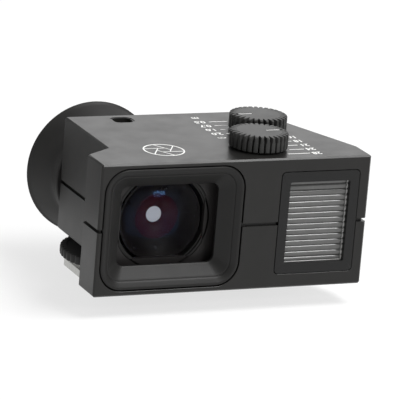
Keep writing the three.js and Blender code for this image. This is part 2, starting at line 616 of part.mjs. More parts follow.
/** A leaf spring fixed under the top plate, with its bump just clear of a cam's rim. */
function clickSpring(at, rimR) {
  const y = at.y + rimR + GAP + 0.1;
  const leaf = box(at.x - 5, at.x + 5, y + 0.2, y + 0.6, CAM.bottom + 0.1, CAM.top - 0.1);
  const bump = rod(at.x, y + 0.4, 0.4, CAM.bottom + 0.1, CAM.top - 0.1, 12);
  const foot = box(at.x + 3.6, at.x + 5, y + 0.2, y + 1.4, CAM.bottom + 0.1, TOP_Z - WALL - GAP);
  return join(leaf, bump, foot);
}

const CARRIAGE = { front: -25.2, back: -24.4, hw: 7.9, hh: 9.9, armZ: 29.4, armH: 1.1 };
const GUIDE_PINS = { left: 26.2, right: 43.35, y: -21.5, r: 0.6, top: 29.0 };
const MASK = {
  leftY: -24.0, rightY: -23.1, thick: 0.5, half: 5.0, jaw: 2.0, bar: 2.2, bottom: 11.6, top: 28.8,
};
const BEAM = { bottom: 29.5, top: 30.4, half: 0.8, riser: 1.4 };

/** Frame plate that slides on two guide pins, with an arm whose finger rides under the distance ramp. */
function parallaxCarriage() {
  const { front, back, hw, hh, armZ, armH } = CARRIAGE;
  const plate = extrudeY(roundedRect(WINDOW_X, AXIS_Z, hw, hh, 0.5, 4), front, back);
  const hole = extrudeY(roundedRect(WINDOW_X, AXIS_Z, 5.8, 7.6, 0.5, 4), front - OVER, back + OVER);
  const tabBack = GUIDE_PINS.y + 1.1;
  const tabs = [13, 26.5].flatMap((z) => [
    box(GUIDE_PINS.left - 1.2, WINDOW_X - hw + OVER, front, tabBack, z, z + 1),
    box(WINDOW_X + hw - OVER, GUIDE_PINS.right + 0.95, front, tabBack, z, z + 1),
  ]);
  const pinHoles = [GUIDE_PINS.left, GUIDE_PINS.right].map((x) => {
    return rod(x, GUIDE_PINS.y, GUIDE_PINS.r + GAP, 12, GUIDE_PINS.top, 16);
  });
  const fingerX = DISTANCE.x + RAMP.r - 1;
  const arm = box(fingerX + 0.8, fingerX + 2.6, front, DISTANCE.y + 0.8, armZ, armZ + armH);
  const finger = box(fingerX - 0.8, fingerX + 1.4, DISTANCE.y - 0.8, DISTANCE.y + 0.8, armZ, armZ + armH);
  return cut(join(cut(plate, hole), ...tabs, arm, finger), ...pinHoles);
}

/** One L-shaped mask blade with its arm and follower pin; side -1 is the left blade, +1 the right one. */
function maskBlade(side) {
  const y0 = side < 0 ? MASK.leftY : MASK.rightY;
  const y1 = y0 + MASK.thick;
  const jawX = [WINDOW_X + side * MASK.half, WINDOW_X + side * (MASK.half - MASK.jaw)].sort((a, b) => a - b);
  const jaw = box(...jawX, y0, y1, MASK.bottom, MASK.top);
  const barZ = side < 0 ? MASK.bottom : MASK.top - MASK.bar;
  const bar = box(WINDOW_X - MASK.half, WINDOW_X + MASK.half, y0, y1, barZ, barZ + MASK.bar);
  const riserX = WINDOW_X - MASK.half;
  const riser = box(riserX, riserX + BEAM.riser, y0, y1, MASK.top - 0.8, BEAM.top);
  const pinX = FOCAL.x + side * FOLLOWER.rest;
  const beam = box(pinX - BEAM.half, riserX + 1, y0, y1, BEAM.bottom, BEAM.top);
  const reach = box(pinX - BEAM.half, pinX + BEAM.half, y0, FOCAL.y + BEAM.half, BEAM.bottom, BEAM.top);
  const pin = rod(pinX, FOCAL.y, FOLLOWER.r, BEAM.bottom + 0.2, CAM.top - GAP, 12);
  return join(jaw, bar, riser, beam, reach, pin);
}

function addMechanism() {
  add('focal_dial', dial(FOCAL, 1), 'dial_black');
  add('distance_dial', dial(DISTANCE, -1), 'dial_black');
  addBearing('focal', FOCAL, SHAFT_END.focal);
  addBearing('distance', DISTANCE, SHAFT_END.distance);
  add('focal_cam', focalCam(), 'brass');
  add('distance_cam', distanceCam(), 'brass');
  add('focal_clip', clip(FOCAL, SHAFT_END.focal + 0.25), 'steel');
  add('distance_clip', clip(DISTANCE, SHAFT_END.distance + 0.3), 'steel');
  add('focal_click_spring', clickSpring(FOCAL, CAM.r), 'steel');
  add('distance_click_spring', clickSpring(DISTANCE, RAMP.r), 'steel');
  add('parallax_carriage', parallaxCarriage(), 'inner_black');
  for (const side of ['left', 'right']) {
    const base = FRONT_BOTTOM_Z + WALL + GAP;
    const pin = rod(GUIDE_PINS[side], GUIDE_PINS.y, GUIDE_PINS.r, base, GUIDE_PINS.top, 16);
    add(`guide_pin_${side}`, pin, 'steel');
  }
  add('mask_blade_left', maskBlade(-1), 'inner_black');
  add('mask_blade_right', maskBlade(1), 'inner_black');
}

// ---------------------------------------------------------------- shoe foot and lock wheel
const FOOT_SCREW = { headR: 1.4, headH: 0.75, shankR: 0.7, top: 5.8 };

function footPlate() {
  const [w, l] = [FOOT.width / 2, FOOT.length / 2];
  const bevel = 0.5;
  const outline = polygon([
    [-w + bevel, 0], [w - bevel, 0], [w, bevel], [w, FOOT.thickness], [-w, FOOT.thickness], [-w, bevel],
  ]);
  const plate = common(
    extrudeY(outline, -l, l),
    extrudeZ(roundedRect(0, 0, w, l, 0.8), -OVER, FOOT.thickness + OVER),
  );
  const [headR, shankR] = [FOOT_SCREW.headR + GAP + 0.05, FOOT_SCREW.shankR + GAP];
  return cut(plate, ...footScrewPlaces().flatMap(([x, y]) => [
    rod(x, y, shankR, -OVER, FOOT.thickness + OVER, 12),
    latheZ([[0, -OVER], [headR, -OVER], [headR, 0.55], [shankR, 1.1], [0, 1.1]], x, y, 12),
  ]));
}

function footScrewPlaces() {
  return [[-1, -1], [1, -1], [-1, 1], [1, 1]].map(([sx, sy]) => [sx * FOOT_SCREW_R, sy * FOOT_SCREW_R]);
}

function addFoot() {
  add('foot_plate', footPlate(), 'steel');
  const pillar = rod(0, 0, PILLAR_R, FOOT.thickness + GAP, REAR_BOTTOM_Z - GAP, 30);
  const threads = footScrewPlaces().map(([x, y]) => {
    return rod(x, y, FOOT_SCREW.shankR + GAP, FOOT.thickness, FOOT_SCREW.top + 0.4, 12);
  });
  add('foot_pillar', cut(pillar, ...threads), 'steel');
  footScrewPlaces().forEach(([x, y], i) => {
    add(`foot_screw_${i + 1}`, screw(x, y, 0.08, FOOT_SCREW), 'steel');
  });
  const washerTop = WASHER.bottom + WASHER.thickness;
  const washer = cut(
    extrudeZ(roundedRect(0, 0, WASHER.half, WASHER.half, WASHER.r), WASHER.bottom, washerTop),
    rod(0, 0, WASHER.bore, WASHER.bottom - OVER, washerTop + OVER, 30),
  );
  add('clamp_washer', washer, 'steel');
  const knurl = extrudeZ(knurled(0, 0, WHEEL.r, WHEEL.depth, WHEEL.teeth), WHEEL.bottom, WHEEL.top);
  const bore = rod(0, 0, WHEEL.bore, WHEEL.bottom - OVER, WHEEL.top + OVER, 30);
  add('lock_wheel', cut(knurl, bore), 'dial_black');
}

addHousing();
addObjective();
addWindow();
addInnerOptics();
addEyepiece();
addLevel();
addMechanism();
addFoot();

export default group;
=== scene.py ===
"""Looks for a shoe-mounted camera viewfinder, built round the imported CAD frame.

Lengths in this file are millimetres until mesh_object() or MM turns them into metres.
The front faces -Y, +X runs towards the illumination window and +Z is up.
"""
import math

import bmesh
import bpy
from mathutils import Matrix, Vector


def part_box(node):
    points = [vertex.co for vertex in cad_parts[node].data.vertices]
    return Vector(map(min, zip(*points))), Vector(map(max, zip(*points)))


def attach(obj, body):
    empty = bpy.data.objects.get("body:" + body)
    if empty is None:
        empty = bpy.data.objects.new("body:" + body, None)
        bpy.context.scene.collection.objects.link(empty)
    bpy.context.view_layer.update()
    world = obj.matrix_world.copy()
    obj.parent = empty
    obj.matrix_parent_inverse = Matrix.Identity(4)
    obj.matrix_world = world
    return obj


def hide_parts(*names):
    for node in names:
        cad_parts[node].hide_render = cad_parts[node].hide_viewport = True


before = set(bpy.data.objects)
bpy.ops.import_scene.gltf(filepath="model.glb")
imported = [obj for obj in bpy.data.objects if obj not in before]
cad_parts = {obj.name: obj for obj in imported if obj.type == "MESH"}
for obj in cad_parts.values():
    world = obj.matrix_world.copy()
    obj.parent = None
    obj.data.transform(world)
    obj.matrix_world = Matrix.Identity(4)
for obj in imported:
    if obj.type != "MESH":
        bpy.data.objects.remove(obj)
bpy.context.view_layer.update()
scene = bpy.context.scene
MM = 0.001


class Box:
    """A CAD node's box at rest, in millimetres."""

    def __init__(self, node):
        lo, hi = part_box(node)
        self.lo, self.hi = lo / MM, hi / MM
        self.mid, self.size = (self.lo + self.hi) / 2, self.hi - self.lo


# ------------------------------------------------------------------ measures taken from the frame
UPPER, LOWER = Box("upper_housing"), Box("lower_housing")
AXIS_Z = Box("objective_lens").mid.z
TOP_Z, FRONT_Y, REAR_Y = UPPER.hi.z, UPPER.lo.y, UPPER.hi.y
LEFT_X, RIGHT_X = UPPER.lo.x, UPPER.hi.x
GAP = 0.3                  # clearance round a fitted piece
WALL = 1.4

# plan corners that no node's box gives
NOTCH_X, REAR_RIGHT_X = -11.3, 35.7
BLOCK_LEFT_Y, BLOCK_Y, KINK_Y = -21.2, -16.7, -22.6
REAR_BOTTOM_Z = LOWER.lo.z + 3.8


# ------------------------------------------------------------------ mesh helpers
def mesh_object(name, verts, faces, sharp=32, weighted=False):
    """A smooth-shaded mesh with sharp edges above an angle, its faces turned outwards."""
    mesh = bpy.data.meshes.new(name)
    mesh.from_pydata([Vector(v) * MM for v in verts], [], faces)
    bm = bmesh.new()
    bm.from_mesh(mesh)
    bmesh.ops.recalc_face_normals(bm, faces=bm.faces)
    bm.to_mesh(mesh)
    bm.free()
    mesh.validate()
    obj = bpy.data.objects.new(name, mesh)
    scene.collection.objects.link(obj)
    smooth(obj, sharp, weighted)
    return obj


def smooth(obj, sharp=32, weighted=False):
    """Smooth shading with sharp edges above an angle; weighted keeps large flat faces flat."""
    obj.data.shade_smooth()
    obj.data.set_sharp_from_angle(angle=math.radians(sharp))
    if weighted:
        modifier = obj.modifiers.new("flat_faces", "WEIGHTED_NORMAL")
        modifier.keep_sharp = True
        modifier.weight = 90


def bridge(rings, closed=False):
    """Faces that join rings of equal size, one after the other."""
    count = len(rings[0])
    faces = []
    last = len(rings) if closed else len(rings) - 1
    for k in range(last):
        a, b = k * count, ((k + 1) % len(rings)) * count
        for i in range(count):
            j = (i + 1) % count
            faces.append((a + i, a + j, b + j, b + i))
    return faces


def lathe(name, profile, centre, axis="Z", segments=128, sharp=32):
    """A profile of (radius, height) spun round an axis through centre.

    A profile that ends where it starts makes a ring; any other is closed with a flat face at both ends.
    """
    rings = []
    for r, h in profile:
        ring = []
        for i in range(segments):
            a = 2 * math.pi * i / segments
            u, v = r * math.cos(a), r * math.sin(a)
            place = {"Z": (u, v, h), "Y": (u, h, v), "X": (h, u, v)}[axis]
            ring.append(Vector(place) + Vector(centre))
        rings.append(ring)
    ring_shaped = profile[0] == profile[-1]
    if ring_shaped:
        rings.pop()
    verts = [v for ring in rings for v in ring]
    faces = bridge(rings, closed=ring_shaped)
    if not ring_shaped:
        faces.append(tuple(range(segments)))
        faces.append(tuple(range((len(rings) - 1) * segments, len(rings) * segments)))
    obj = mesh_object(name, verts, faces, sharp)
    weld(obj)
    return obj


def weld(obj):
    """Merges points that coincide and turns the faces outwards."""
    bm = bmesh.new()
    bm.from_mesh(obj.data)
    bmesh.ops.remove_doubles(bm, verts=bm.verts, dist=1e-7)
    bmesh.ops.dissolve_degenerate(bm, edges=bm.edges, dist=1e-8)
    bmesh.ops.recalc_face_normals(bm, faces=bm.faces)
    bm.to_mesh(obj.data)
    bm.free()


def rounded(cx, cy, hw, hh, r, steps=10):
    """Points of a rounded rectangle, counter-clockwise, with the same count for any size."""
    points = []
    for corner in range(4):
        sx = 1 if corner in (0, 3) else -1
        sy = 1 if corner < 2 else -1
        for i in range(steps + 1):
            a = (corner + i / steps) * math.pi / 2
            points.append((cx + sx * (hw - r) + r * math.cos(a), cy + sy * (hh - r) + r * math.sin(a)))
    return points


def loft_ring(name, x, sections, sharp=32, steps=10):
    """A closed band through rounded rectangles, each (half width, half height, radius, y)."""
    rings = []
    for hw, hh, r, y in sections:
        rings.append([(px, y, pz) for px, pz in rounded(x, AXIS_Z, hw, hh, r, steps)])
    verts = [v for ring in rings for v in ring]
    return mesh_object(name, verts, bridge(rings, closed=True), sharp, weighted=True)


def prism(name, outline, z0, z1, bevel=0.0, segments=3):
    """An upright prism, with every outer edge rounded when a bevel is given."""
    count = len(outline)
    verts = [(x, y, z) for z in (z0, z1) for x, y in outline]
    faces = [tuple(reversed(range(count))), tuple(range(count, 2 * count))]
    faces += [(i, (i + 1) % count, count + (i + 1) % count, count + i) for i in range(count)]
    obj = mesh_object(name, verts, faces)
    if bevel:
        round_edges(obj, bevel, segments)
    return obj


def round_edges(obj, width, segments=3, keep=None):
    bm = bmesh.new()
    bm.from_mesh(obj.data)
    edges = [e for e in bm.edges if keep is None or keep(e)]
    bmesh.ops.bevel(bm, geom=edges, offset=width * MM, segments=segments, profile=0.5, affect="EDGES",
                    clamp_overlap=True)
    bm.to_mesh(obj.data)
    bm.free()


def cut(base, tools, operation="DIFFERENCE"):
    """Takes the tools away from base, for good, and removes the tools."""
    for tool in tools:
        modifier = base.modifiers.new("cut", "BOOLEAN")
        modifier.operation = operation
        modifier.solver = "EXACT"
        modifier.object = tool
    bpy.context.view_layer.update()
    made = bpy.data.meshes.new_from_object(base.evaluated_get(bpy.context.evaluated_depsgraph_get()))
    base.modifiers.clear()
    base.data = made
    for tool in tools:
        bpy.data.objects.remove(tool)
    bm = bmesh.new()
    bm.from_mesh(base.data)
    bmesh.ops.remove_doubles(bm, verts=bm.verts, dist=2e-7)
    bmesh.ops.dissolve_limit(bm, angle_limit=math.radians(0.4), verts=bm.verts, edges=bm.edges)
    bm.to_mesh(base.data)
    bm.free()


def block(name, lo, hi):
    corners = [(x, y, z) for x in (lo[0], hi[0]) for y in (lo[1], hi[1]) for z in (lo[2], hi[2])]
    faces = [(0, 1, 3, 2), (4, 6, 7, 5), (0, 4, 5, 1), (2, 3, 7, 6), (0, 2, 6, 4), (1, 5, 7, 3)]
    return mesh_object(name, corners, faces)


def arc(cx, cy, r, start, end, steps):
    """Points of an arc, angles in degrees, for a lathe profile."""
    return [(cx + r * math.cos(math.radians(start + (end - start) * i / steps)),
             cy + r * math.sin(math.radians(start + (end - start) * i / steps))) for i in range(steps + 1)]


# ------------------------------------------------------------------ materials
def node(tree, kind, **inputs):
    made = tree.nodes.new(kind)
    for key, value in inputs.items():
        made.inputs[key.replace("_", " ")].default_value = value
    return made


def finish(name, colour, roughness, metallic=0.0, ior=1.5, mottle=0.12, spread=0.06, grain=0.12, depth=0.0015,
           broad=6.0, wear_and_highlight=0.0, worn_and_lit=(0.3, 0.3, 0.29), specular=0.5, transmission=0.0, emission=None,
           emission_strength=0.0, stretch=(1, 1, 1)):
    """Principled finish whose colour, roughness and bump come from noise at real scale.

    grain and broad are feature sizes in mm and depth is the height of the grain in mm. mottle is how far the
    colour varies and spread how far the roughness does. wear_and_highlight is how strongly the lighter colour
    worn_and_lit shows at edges; it stands for slight wear and for a painted edge highlight.
    """
    material = bpy.data.materials.new(name)
    material.use_nodes = True
    tree = material.node_tree
    link = tree.links.new
    shader = tree.nodes["Principled BSDF"]
    shader.inputs["Metallic"].default_value = metallic
    shader.inputs["IOR"].default_value = ior
    shader.inputs["Specular IOR Level"].default_value = specular
    shader.inputs["Transmission Weight"].default_value = transmission
    if emission:
        shader.inputs["Emission Color"].default_value = (*emission, 1)
        shader.inputs["Emission Strength"].default_value = emission_strength
    place = tree.nodes.new("ShaderNodeTexCoord")
    mapping = tree.nodes.new("ShaderNodeMapping")
    mapping.inputs["Scale"].default_value = stretch
    link(place.outputs["Object"], mapping.inputs["Vector"])
    coarse = node(tree, "ShaderNodeTexNoise", Scale=1 / (broad * MM), Detail=4.0, Roughness=0.55)
    fine = node(tree, "ShaderNodeTexNoise", Scale=1 / (grain * MM), Detail=3.0, Roughness=0.6)
    for texture in (coarse, fine):
        link(mapping.outputs["Vector"], texture.inputs["Vector"])
    both = tree.nodes.new("ShaderNodeMix")
    both.data_type = "FLOAT"
    both.inputs[0].default_value = 0.4
    link(coarse.outputs["Fac"], both.inputs[2])
    link(fine.outputs["Fac"], both.inputs[3])
    ramp = tree.nodes.new("ShaderNodeValToRGB")
    ramp.color_ramp.elements[0].position, ramp.color_ramp.elements[1].position = 0.3, 0.7
    ramp.color_ramp.elements[0].color = (*[c * (1 - mottle) for c in colour], 1)
    ramp.color_ramp.elements[1].color = (*[min(1, c * (1 + mottle)) for c in colour], 1)
    link(both.outputs[0], ramp.inputs["Fac"])
    colour_out = ramp.outputs["Color"]
    if wear_and_highlight:
        colour_out = wear_and_edge_highlight(tree, colour_out, worn_and_lit, wear_and_highlight, coarse)
    link(colour_out, shader.inputs["Base Color"])
    rough = tree.nodes.new("ShaderNodeMapRange")
    rough.inputs["From Min"].default_value, rough.inputs["From Max"].default_value = 0.3, 0.7
    rough.inputs["To Min"].default_value = max(0.01, roughness - spread)
    rough.inputs["To Max"].default_value = roughness + spread
    link(both.outputs[0], rough.inputs["Value"])
    link(rough.outputs["Result"], shader.inputs["Roughness"])
    bump = tree.nodes.new("ShaderNodeBump")
    bump.inputs["Strength"].default_value = 1.0
    bump.inputs["Distance"].default_value = depth * MM
    link(fine.outputs["Fac"], bump.inputs["Height"])
    link(bump.outputs["Normal"], shader.inputs["Normal"])
    return material


def wear_and_edge_highlight(tree, colour_out, worn_and_lit, amount, noise):
    """Lets a lighter colour show along edges, broken up by noise: slight wear of the metal and a painted edge
    highlight.
    """
    link = tree.links.new
    bevel = tree.nodes.new("ShaderNodeBevel")
    bevel.samples = 4
    bevel.inputs["Radius"].default_value = 0.16 * MM
    geometry = tree.nodes.new("ShaderNodeNewGeometry")
    dot = tree.nodes.new("ShaderNodeVectorMath")
    dot.operation = "DOT_PRODUCT"
    link(bevel.outputs["Normal"], dot.inputs[0])
    link(geometry.outputs["Normal"], dot.inputs[1])
    edge = tree.nodes.new("ShaderNodeMapRange")
    edge.inputs["From Min"].default_value, edge.inputs["From Max"].default_value = 0.985, 0.86
    edge.inputs["To Max"].default_value = amount
    link(dot.outputs["Value"], edge.inputs["Value"])
    broken = tree.nodes.new("ShaderNodeMath")
    broken.operation = "MULTIPLY"
    link(edge.outputs["Result"], broken.inputs[0])
    link(noise.outputs["Fac"], broken.inputs[1])
    mix = tree.nodes.new("ShaderNodeMix")
    mix.data_type = "RGBA"
    mix.inputs[7].default_value = (*worn_and_lit, 1)
    link(broken.outputs[0], mix.inputs[0])
    link(colour_out, mix.inputs[6])
    return mix.outputs[2]


GLASS_ROUGHNESS = 0.03


def coated_glass(name, tint, strength=1.0):
    """A thin coated pane or dome: clear, with a tinted reflection that grows towards grazing angles.

    Only its outer side reflects, so that a closed shell doesn't mirror the light inside itself.
    """
    material = bpy.data.materials.new(name)
    material.use_nodes = True
    tree = material.node_tree
    tree.nodes.clear()
    link = tree.links.new
    out = tree.nodes.new("ShaderNodeOutputMaterial")
    mix = tree.nodes.new("ShaderNodeMixShader")
    clear = tree.nodes.new("ShaderNodeBsdfTransparent")
    gloss = tree.nodes.new("ShaderNodeBsdfGlossy")
    fresnel = tree.nodes.new("ShaderNodeFresnel")
    fresnel.inputs["IOR"].default_value = 1.5
    place = tree.nodes.new("ShaderNodeTexCoord")
    coating = node(tree, "ShaderNodeTexNoise", Scale=220.0, Detail=2.0)
    link(place.outputs["Object"], coating.inputs["Vector"])
    ramp = tree.nodes.new("ShaderNodeValToRGB")
    ramp.color_ramp.elements[0].color = (*[0.85 * c for c in tint], 1)
    ramp.color_ramp.elements[1].color = (*tint, 1)
    link(coating.outputs["Fac"], ramp.inputs["Fac"])
    link(ramp.outputs["Color"], gloss.inputs["Color"])
    dust = node(tree, "ShaderNodeTexNoise", Scale=4000.0, Detail=2.0)
    link(place.outputs["Object"], dust.inputs["Vector"])
    rough = tree.nodes.new("ShaderNodeMapRange")
    rough.inputs["To Min"].default_value = GLASS_ROUGHNESS * 0.6
    rough.inputs["To Max"].default_value = GLASS_ROUGHNESS * 1.4
    link(dust.outputs["Fac"], rough.inputs["Value"])
    link(rough.outputs["Result"], gloss.inputs["Roughness"])
    bump = tree.nodes.new("ShaderNodeBump")
    bump.inputs["Distance"].default_value = 0.0002 * MM
    link(dust.outputs["Fac"], bump.inputs["Height"])
    link(bump.outputs["Normal"], gloss.inputs["Normal"])
    scaled = tree.nodes.new("ShaderNodeMath")
    scaled.operation = "MULTIPLY"
    scaled.inputs[1].default_value = strength
    link(fresnel.outputs["Fac"], scaled.inputs[0])
    sides = tree.nodes.new("ShaderNodeNewGeometry")
    front_only = tree.nodes.new("ShaderNodeMath")
    front_only.operation = "SUBTRACT"
    front_only.inputs[0].default_value = 1.0
    link(sides.outputs["Backfacing"], front_only.inputs[1])
    share = tree.nodes.new("ShaderNodeMath")
    share.operation = "MULTIPLY"
    link(scaled.outputs[0], share.inputs[0])
    link(front_only.outputs[0], share.inputs[1])
    link(share.outputs[0], mix.inputs["Fac"])
    link(clear.outputs["BSDF"], mix.inputs[1])
    link(gloss.outputs["BSDF"], mix.inputs[2])
    link(mix.outputs["Shader"], out.inputs["Surface"])
    return material


ANODISED = finish("anodised", (0.0138, 0.0134, 0.0127), 0.34, ior=1.45, specular=0.32, grain=0.16,
                  depth=0.0030, mottle=0.14)
HOOD = finish("hood_black", (0.0100, 0.0097, 0.0093), 0.44, ior=1.45, specular=0.30, grain=0.13, depth=0.0025)
BOARD = finish("board_black", (0.0135, 0.0118, 0.0118), 0.5, ior=1.4, grain=0.11, depth=0.003)
BEZEL = finish("bezel_black", (0.0060, 0.0060, 0.0060), 0.38, ior=1.45, specular=0.36, grain=0.14,
               depth=0.0022)
# lighter edges on the dials: slight wear and a painted edge highlight
DIAL = finish("dial_black", (0.042, 0.042, 0.041), 0.38, ior=1.45, specular=0.14, grain=0.14,
              depth=0.0025, wear_and_highlight=0.10, worn_and_lit=(0.16, 0.16, 0.155))
RUBBER = finish("eyecup_rubber", (0.017, 0.0165, 0.016), 0.5, ior=1.45, specular=0.33, grain=0.2,
                depth=0.004, mottle=0.18)
STEEL = finish("ground_steel", (0.52, 0.52, 0.50), 0.28, metallic=1.0, grain=0.25, depth=0.0008,
               stretch=(1, 9, 1), mottle=0.08)
BRASS = finish("turned_brass", (0.56, 0.40, 0.17), 0.3, metallic=1.0, grain=0.2, depth=0.0008)
INNER = finish("inner_black", (0.006, 0.006, 0.006), 0.75, ior=1.35, grain=0.1, depth=0.004)
PAINT = finish("white_fill", (0.88, 0.88, 0.86), 0.45, grain=0.08, depth=0.003, mottle=0.06)
RIBBED = finish("ribbed_glass", (0.088, 0.088, 0.086), 0.12, ior=1.5, specular=0.6, spread=0.03, grain=0.5,
                depth=0.0001, mottle=0.16, broad=3.0)
# light grey painted on the pane's cut edges as a highlight
EDGE_HIGHLIGHT_PAINT = finish("painted_edge_highlight", (0.48, 0.48, 0.47), 0.2, ior=1.5, grain=0.15, depth=0.001, mottle=0.25)
OPAL = finish("opal_white", (0.6, 0.6, 0.58), 0.5, grain=0.3, depth=0.002)
SILVER = finish("silvered", (0.8, 0.8, 0.8), 0.05, metallic=1.0, spread=0.02, grain=2.0, depth=0.0002)
WELL = finish("blackened_barrel", (0.0034, 0.0026, 0.0028), 0.3, ior=1.4, specular=0.1, spread=0.05,
              grain=0.3, depth=0.0006)
LEVEL = finish("level_fluid", (0.45, 0.55, 0.08), 0.08, transmission=0.6, spread=0.03, grain=1.0,
               depth=0.0002)
# dark red base colour painted as the reflection of an inner lens coating
RED_REFLECTION = finish("painted_red_lens_reflection", (0.020, 0.0030, 0.0035), 0.25, ior=1.4, specular=0.08,
                  spread=0.03, grain=0.8, depth=0.0003)
# glows by itself, in place of the light that comes through from the eyepiece
PUPIL = finish("eyepiece_light", (0.04, 0.04, 0.045), 0.3, emission=(0.235, 0.25, 0.285),
               emission_strength=1.0, grain=0.3, depth=0.0005)
FRONT_COAT = coated_glass("front_coated_glass", (0.5, 0.6, 1.0), strength=0.04)
REAR_COAT = coated_glass("blue_coated_glass", (0.22, 0.46, 1.0), strength=0.26)
CLEAR = coated_glass("clear_glass", (0.8, 0.9, 1.0))


def dress(name, material):
    """Gives a kept CAD node its finish."""
    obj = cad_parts[name]
    obj.data.materials.clear()
    obj.data.materials.append(material)
    for polygon in obj.data.polygons:
        polygon.material_index = 0


def piece(obj, body, material, slot, *nodes):
    """A new visible piece: its finish, the body it rides on and the CAD nodes it stands for."""
    obj.data.materials.clear()
    obj.data.materials.append(material)
    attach(obj, body)
    if nodes:
        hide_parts(*nodes)
    return obj


# ------------------------------------------------------------------ housing
PLAN = [(LEFT_X, FRONT_Y), (RIGHT_X, FRONT_Y), (RIGHT_X, KINK_Y), (REAR_RIGHT_X, REAR_Y), (NOTCH_X, REAR_Y),
        (NOTCH_X, BLOCK_Y), (LEFT_X, BLOCK_LEFT_Y)]
SIDE_SLOPE = (REAR_RIGHT_X - RIGHT_X) / (REAR_Y - KINK_Y)
BLOCK_PLAN = [(LEFT_X, FRONT_Y), (RIGHT_X, FRONT_Y), (RIGHT_X, KINK_Y),
              (RIGHT_X + SIDE_SLOPE * (BLOCK_Y - KINK_Y), BLOCK_Y), (NOTCH_X, BLOCK_Y),
              (LEFT_X, BLOCK_LEFT_Y)]
HOOD_SIZE = Box("front_hood")
HOOD_HW, HOOD_HH, HOOD_R = HOOD_SIZE.size.x / 2, HOOD_SIZE.size.z / 2, 5.3
FRAME_SIZE = Box("window_frame")
WINDOW_X = FRAME_SIZE.mid.x
FRAME_HW, FRAME_HH, FRAME_R = FRAME_SIZE.size.x / 2, FRAME_SIZE.size.z / 2, 0.8
SLOT_X, SLOT_Y = Box("slot_window").mid.x, Box("slot_window").mid.y
SLOT_HW, SLOT_HH, SLOT_R, SLOT_FLARE = 2.25, 1.85, 1.3, 0.4
GROOVE = 0.8               # height of the dark split line between the two housings
EYE_BORE, DIAL_BORE = 8.3, 3.2
EDGE = 0.38                # width of the flat chamfer along the housing's outer edges
LIP = 0.06                 # width of the small chamfer round each opening


def inset(points, d):
    """A counter-clockwise outline moved inwards by d, with mitred corners."""
    moved = []
    for i, point in enumerate(points):
        p, before, after = Vector(point), Vector(points[i - 1]), Vector(points[(i + 1) % len(points)])
        u, v = (p - before).normalized(), (after - p).normalized()
        turn = d / (1 + u.dot(v))
        moved.append((p.x + turn * (-u.y - v.y), p.y + turn * (u.x + v.x)))
    return moved


def rounded_hole(name, x, hw, hh, r, y0, y1):
    """A cutter along Y whose front end flares, to leave a small chamfer in the face at y0."""
    sections = [(hw + LIP + 1, hh + LIP + 1, r + LIP + 1, y0 - 1), (hw, hh, r, y0 + LIP), (hw, hh, r, y1)]
    rings = []
    for w, h, corner, y in sections:
        rings.append([(px, y, pz) for px, pz in rounded(x, AXIS_Z, w, h, corner, 8)])
    verts = [v for ring in rings for v in ring]
    count = len(rings[0])
    faces = bridge(rings) + [tuple(range(count)), tuple(range(2 * count, 3 * count))]
    return mesh_object(name, verts, faces)


def openings():
    """Cutters for the hood, the illumination window and the eyepiece."""
    through = FRONT_Y + WALL + 1
    return [
        rounded_hole("c1", 0, HOOD_HW + GAP, HOOD_HH + GAP, HOOD_R + GAP, FRONT_Y, through),
        rounded_hole("c2", WINDOW_X, FRAME_HW + GAP, FRAME_HH + GAP, FRAME_R + GAP, FRONT_Y, through),
        lathe("c3", [(EYE_BORE, REAR_Y - 3), (EYE_BORE, REAR_Y + 1)], (0, 0, AXIS_Z), "Y", 64),
    ]


def away_from(height):
    """Picks the edges that don't lie at a height, for round_edges()."""
    return lambda edge: any(abs(vertex.co.z - height * MM) > 1e-6 for vertex in edge.verts)


def housing():
    """Both shells, hollowed and cut open; a recessed tongue fills the split line between them."""
    rim = AXIS_Z + GROOVE / 2
    upper = prism("upper_shell", PLAN, rim, TOP_Z)
    round_edges(upper, EDGE, 1, keep=away_from(rim))
    hollow = prism("c4", inset(PLAN, WALL), rim - 1, TOP_Z - WALL)
    slot_outline = rounded(SLOT_X, SLOT_Y, SLOT_HW, SLOT_HH, SLOT_R)
    slot = prism("c5", slot_outline, TOP_Z - WALL - 1, TOP_Z + 1)
    flare = rounded(SLOT_X, SLOT_Y, SLOT_HW + SLOT_FLARE, SLOT_HH + SLOT_FLARE, SLOT_R + SLOT_FLARE)
    wide = prism("c6", flare, TOP_Z - 0.12, TOP_Z + 1)
    bores = []
    for dial in ("focal_dial", "distance_dial"):
        at = Box(dial).mid
        bores.append(lathe("c7", [(DIAL_BORE, TOP_Z - 3), (DIAL_BORE, TOP_Z + 1)], (at.x, at.y, 0), "Z", 48))
    cut(upper, [hollow, *openings(), slot, wide, *bores])
    smooth(upper, 30, weighted=True)
    piece(upper, "housing", ANODISED, "anodised_black", "upper_housing")

    rim = AXIS_Z - GROOVE / 2
    lower = prism("lower_shell", PLAN, REAR_BOTTOM_Z, rim)
    round_edges(lower, EDGE, 1, keep=away_from(rim))
    front = prism("lower_block", BLOCK_PLAN, LOWER.lo.z, REAR_BOTTOM_Z + 3.2, EDGE, 1)
    tongue = prism("tongue", inset(PLAN, 0.8), rim - 2, AXIS_Z + GROOVE / 2 + 0.35)
    cut(lower, [front, tongue], "UNION")
    hollow = prism("c4", inset(PLAN, WALL), REAR_BOTTOM_Z + WALL, AXIS_Z + 2)
    deep = prism("c5", inset(BLOCK_PLAN, WALL), LOWER.lo.z + WALL, REAR_BOTTOM_Z + WALL + 1)
    sinks = []
    for index in range(1, 5):
        screw = Box(f"housing_screw_{index}")
        sink = [(1.8, screw.lo.z - 1), (1.8, screw.lo.z + 1.1)]
        sinks.append(lathe("c8", sink, (screw.mid.x, screw.mid.y, 0), "Z", 32))
    cut(lower, [hollow, deep, *openings(), *sinks])
    smooth(lower, 30, weighted=True)
    piece(lower, "housing", ANODISED, "anodised_black", "lower_housing")


# ------------------------------------------------------------------ hood and objective
THROAT_HW, THROAT_HH, THROAT_R = 11.65, 9.15, 1.7
HOOD_FIT = 0.08            # narrows the seam round the hood


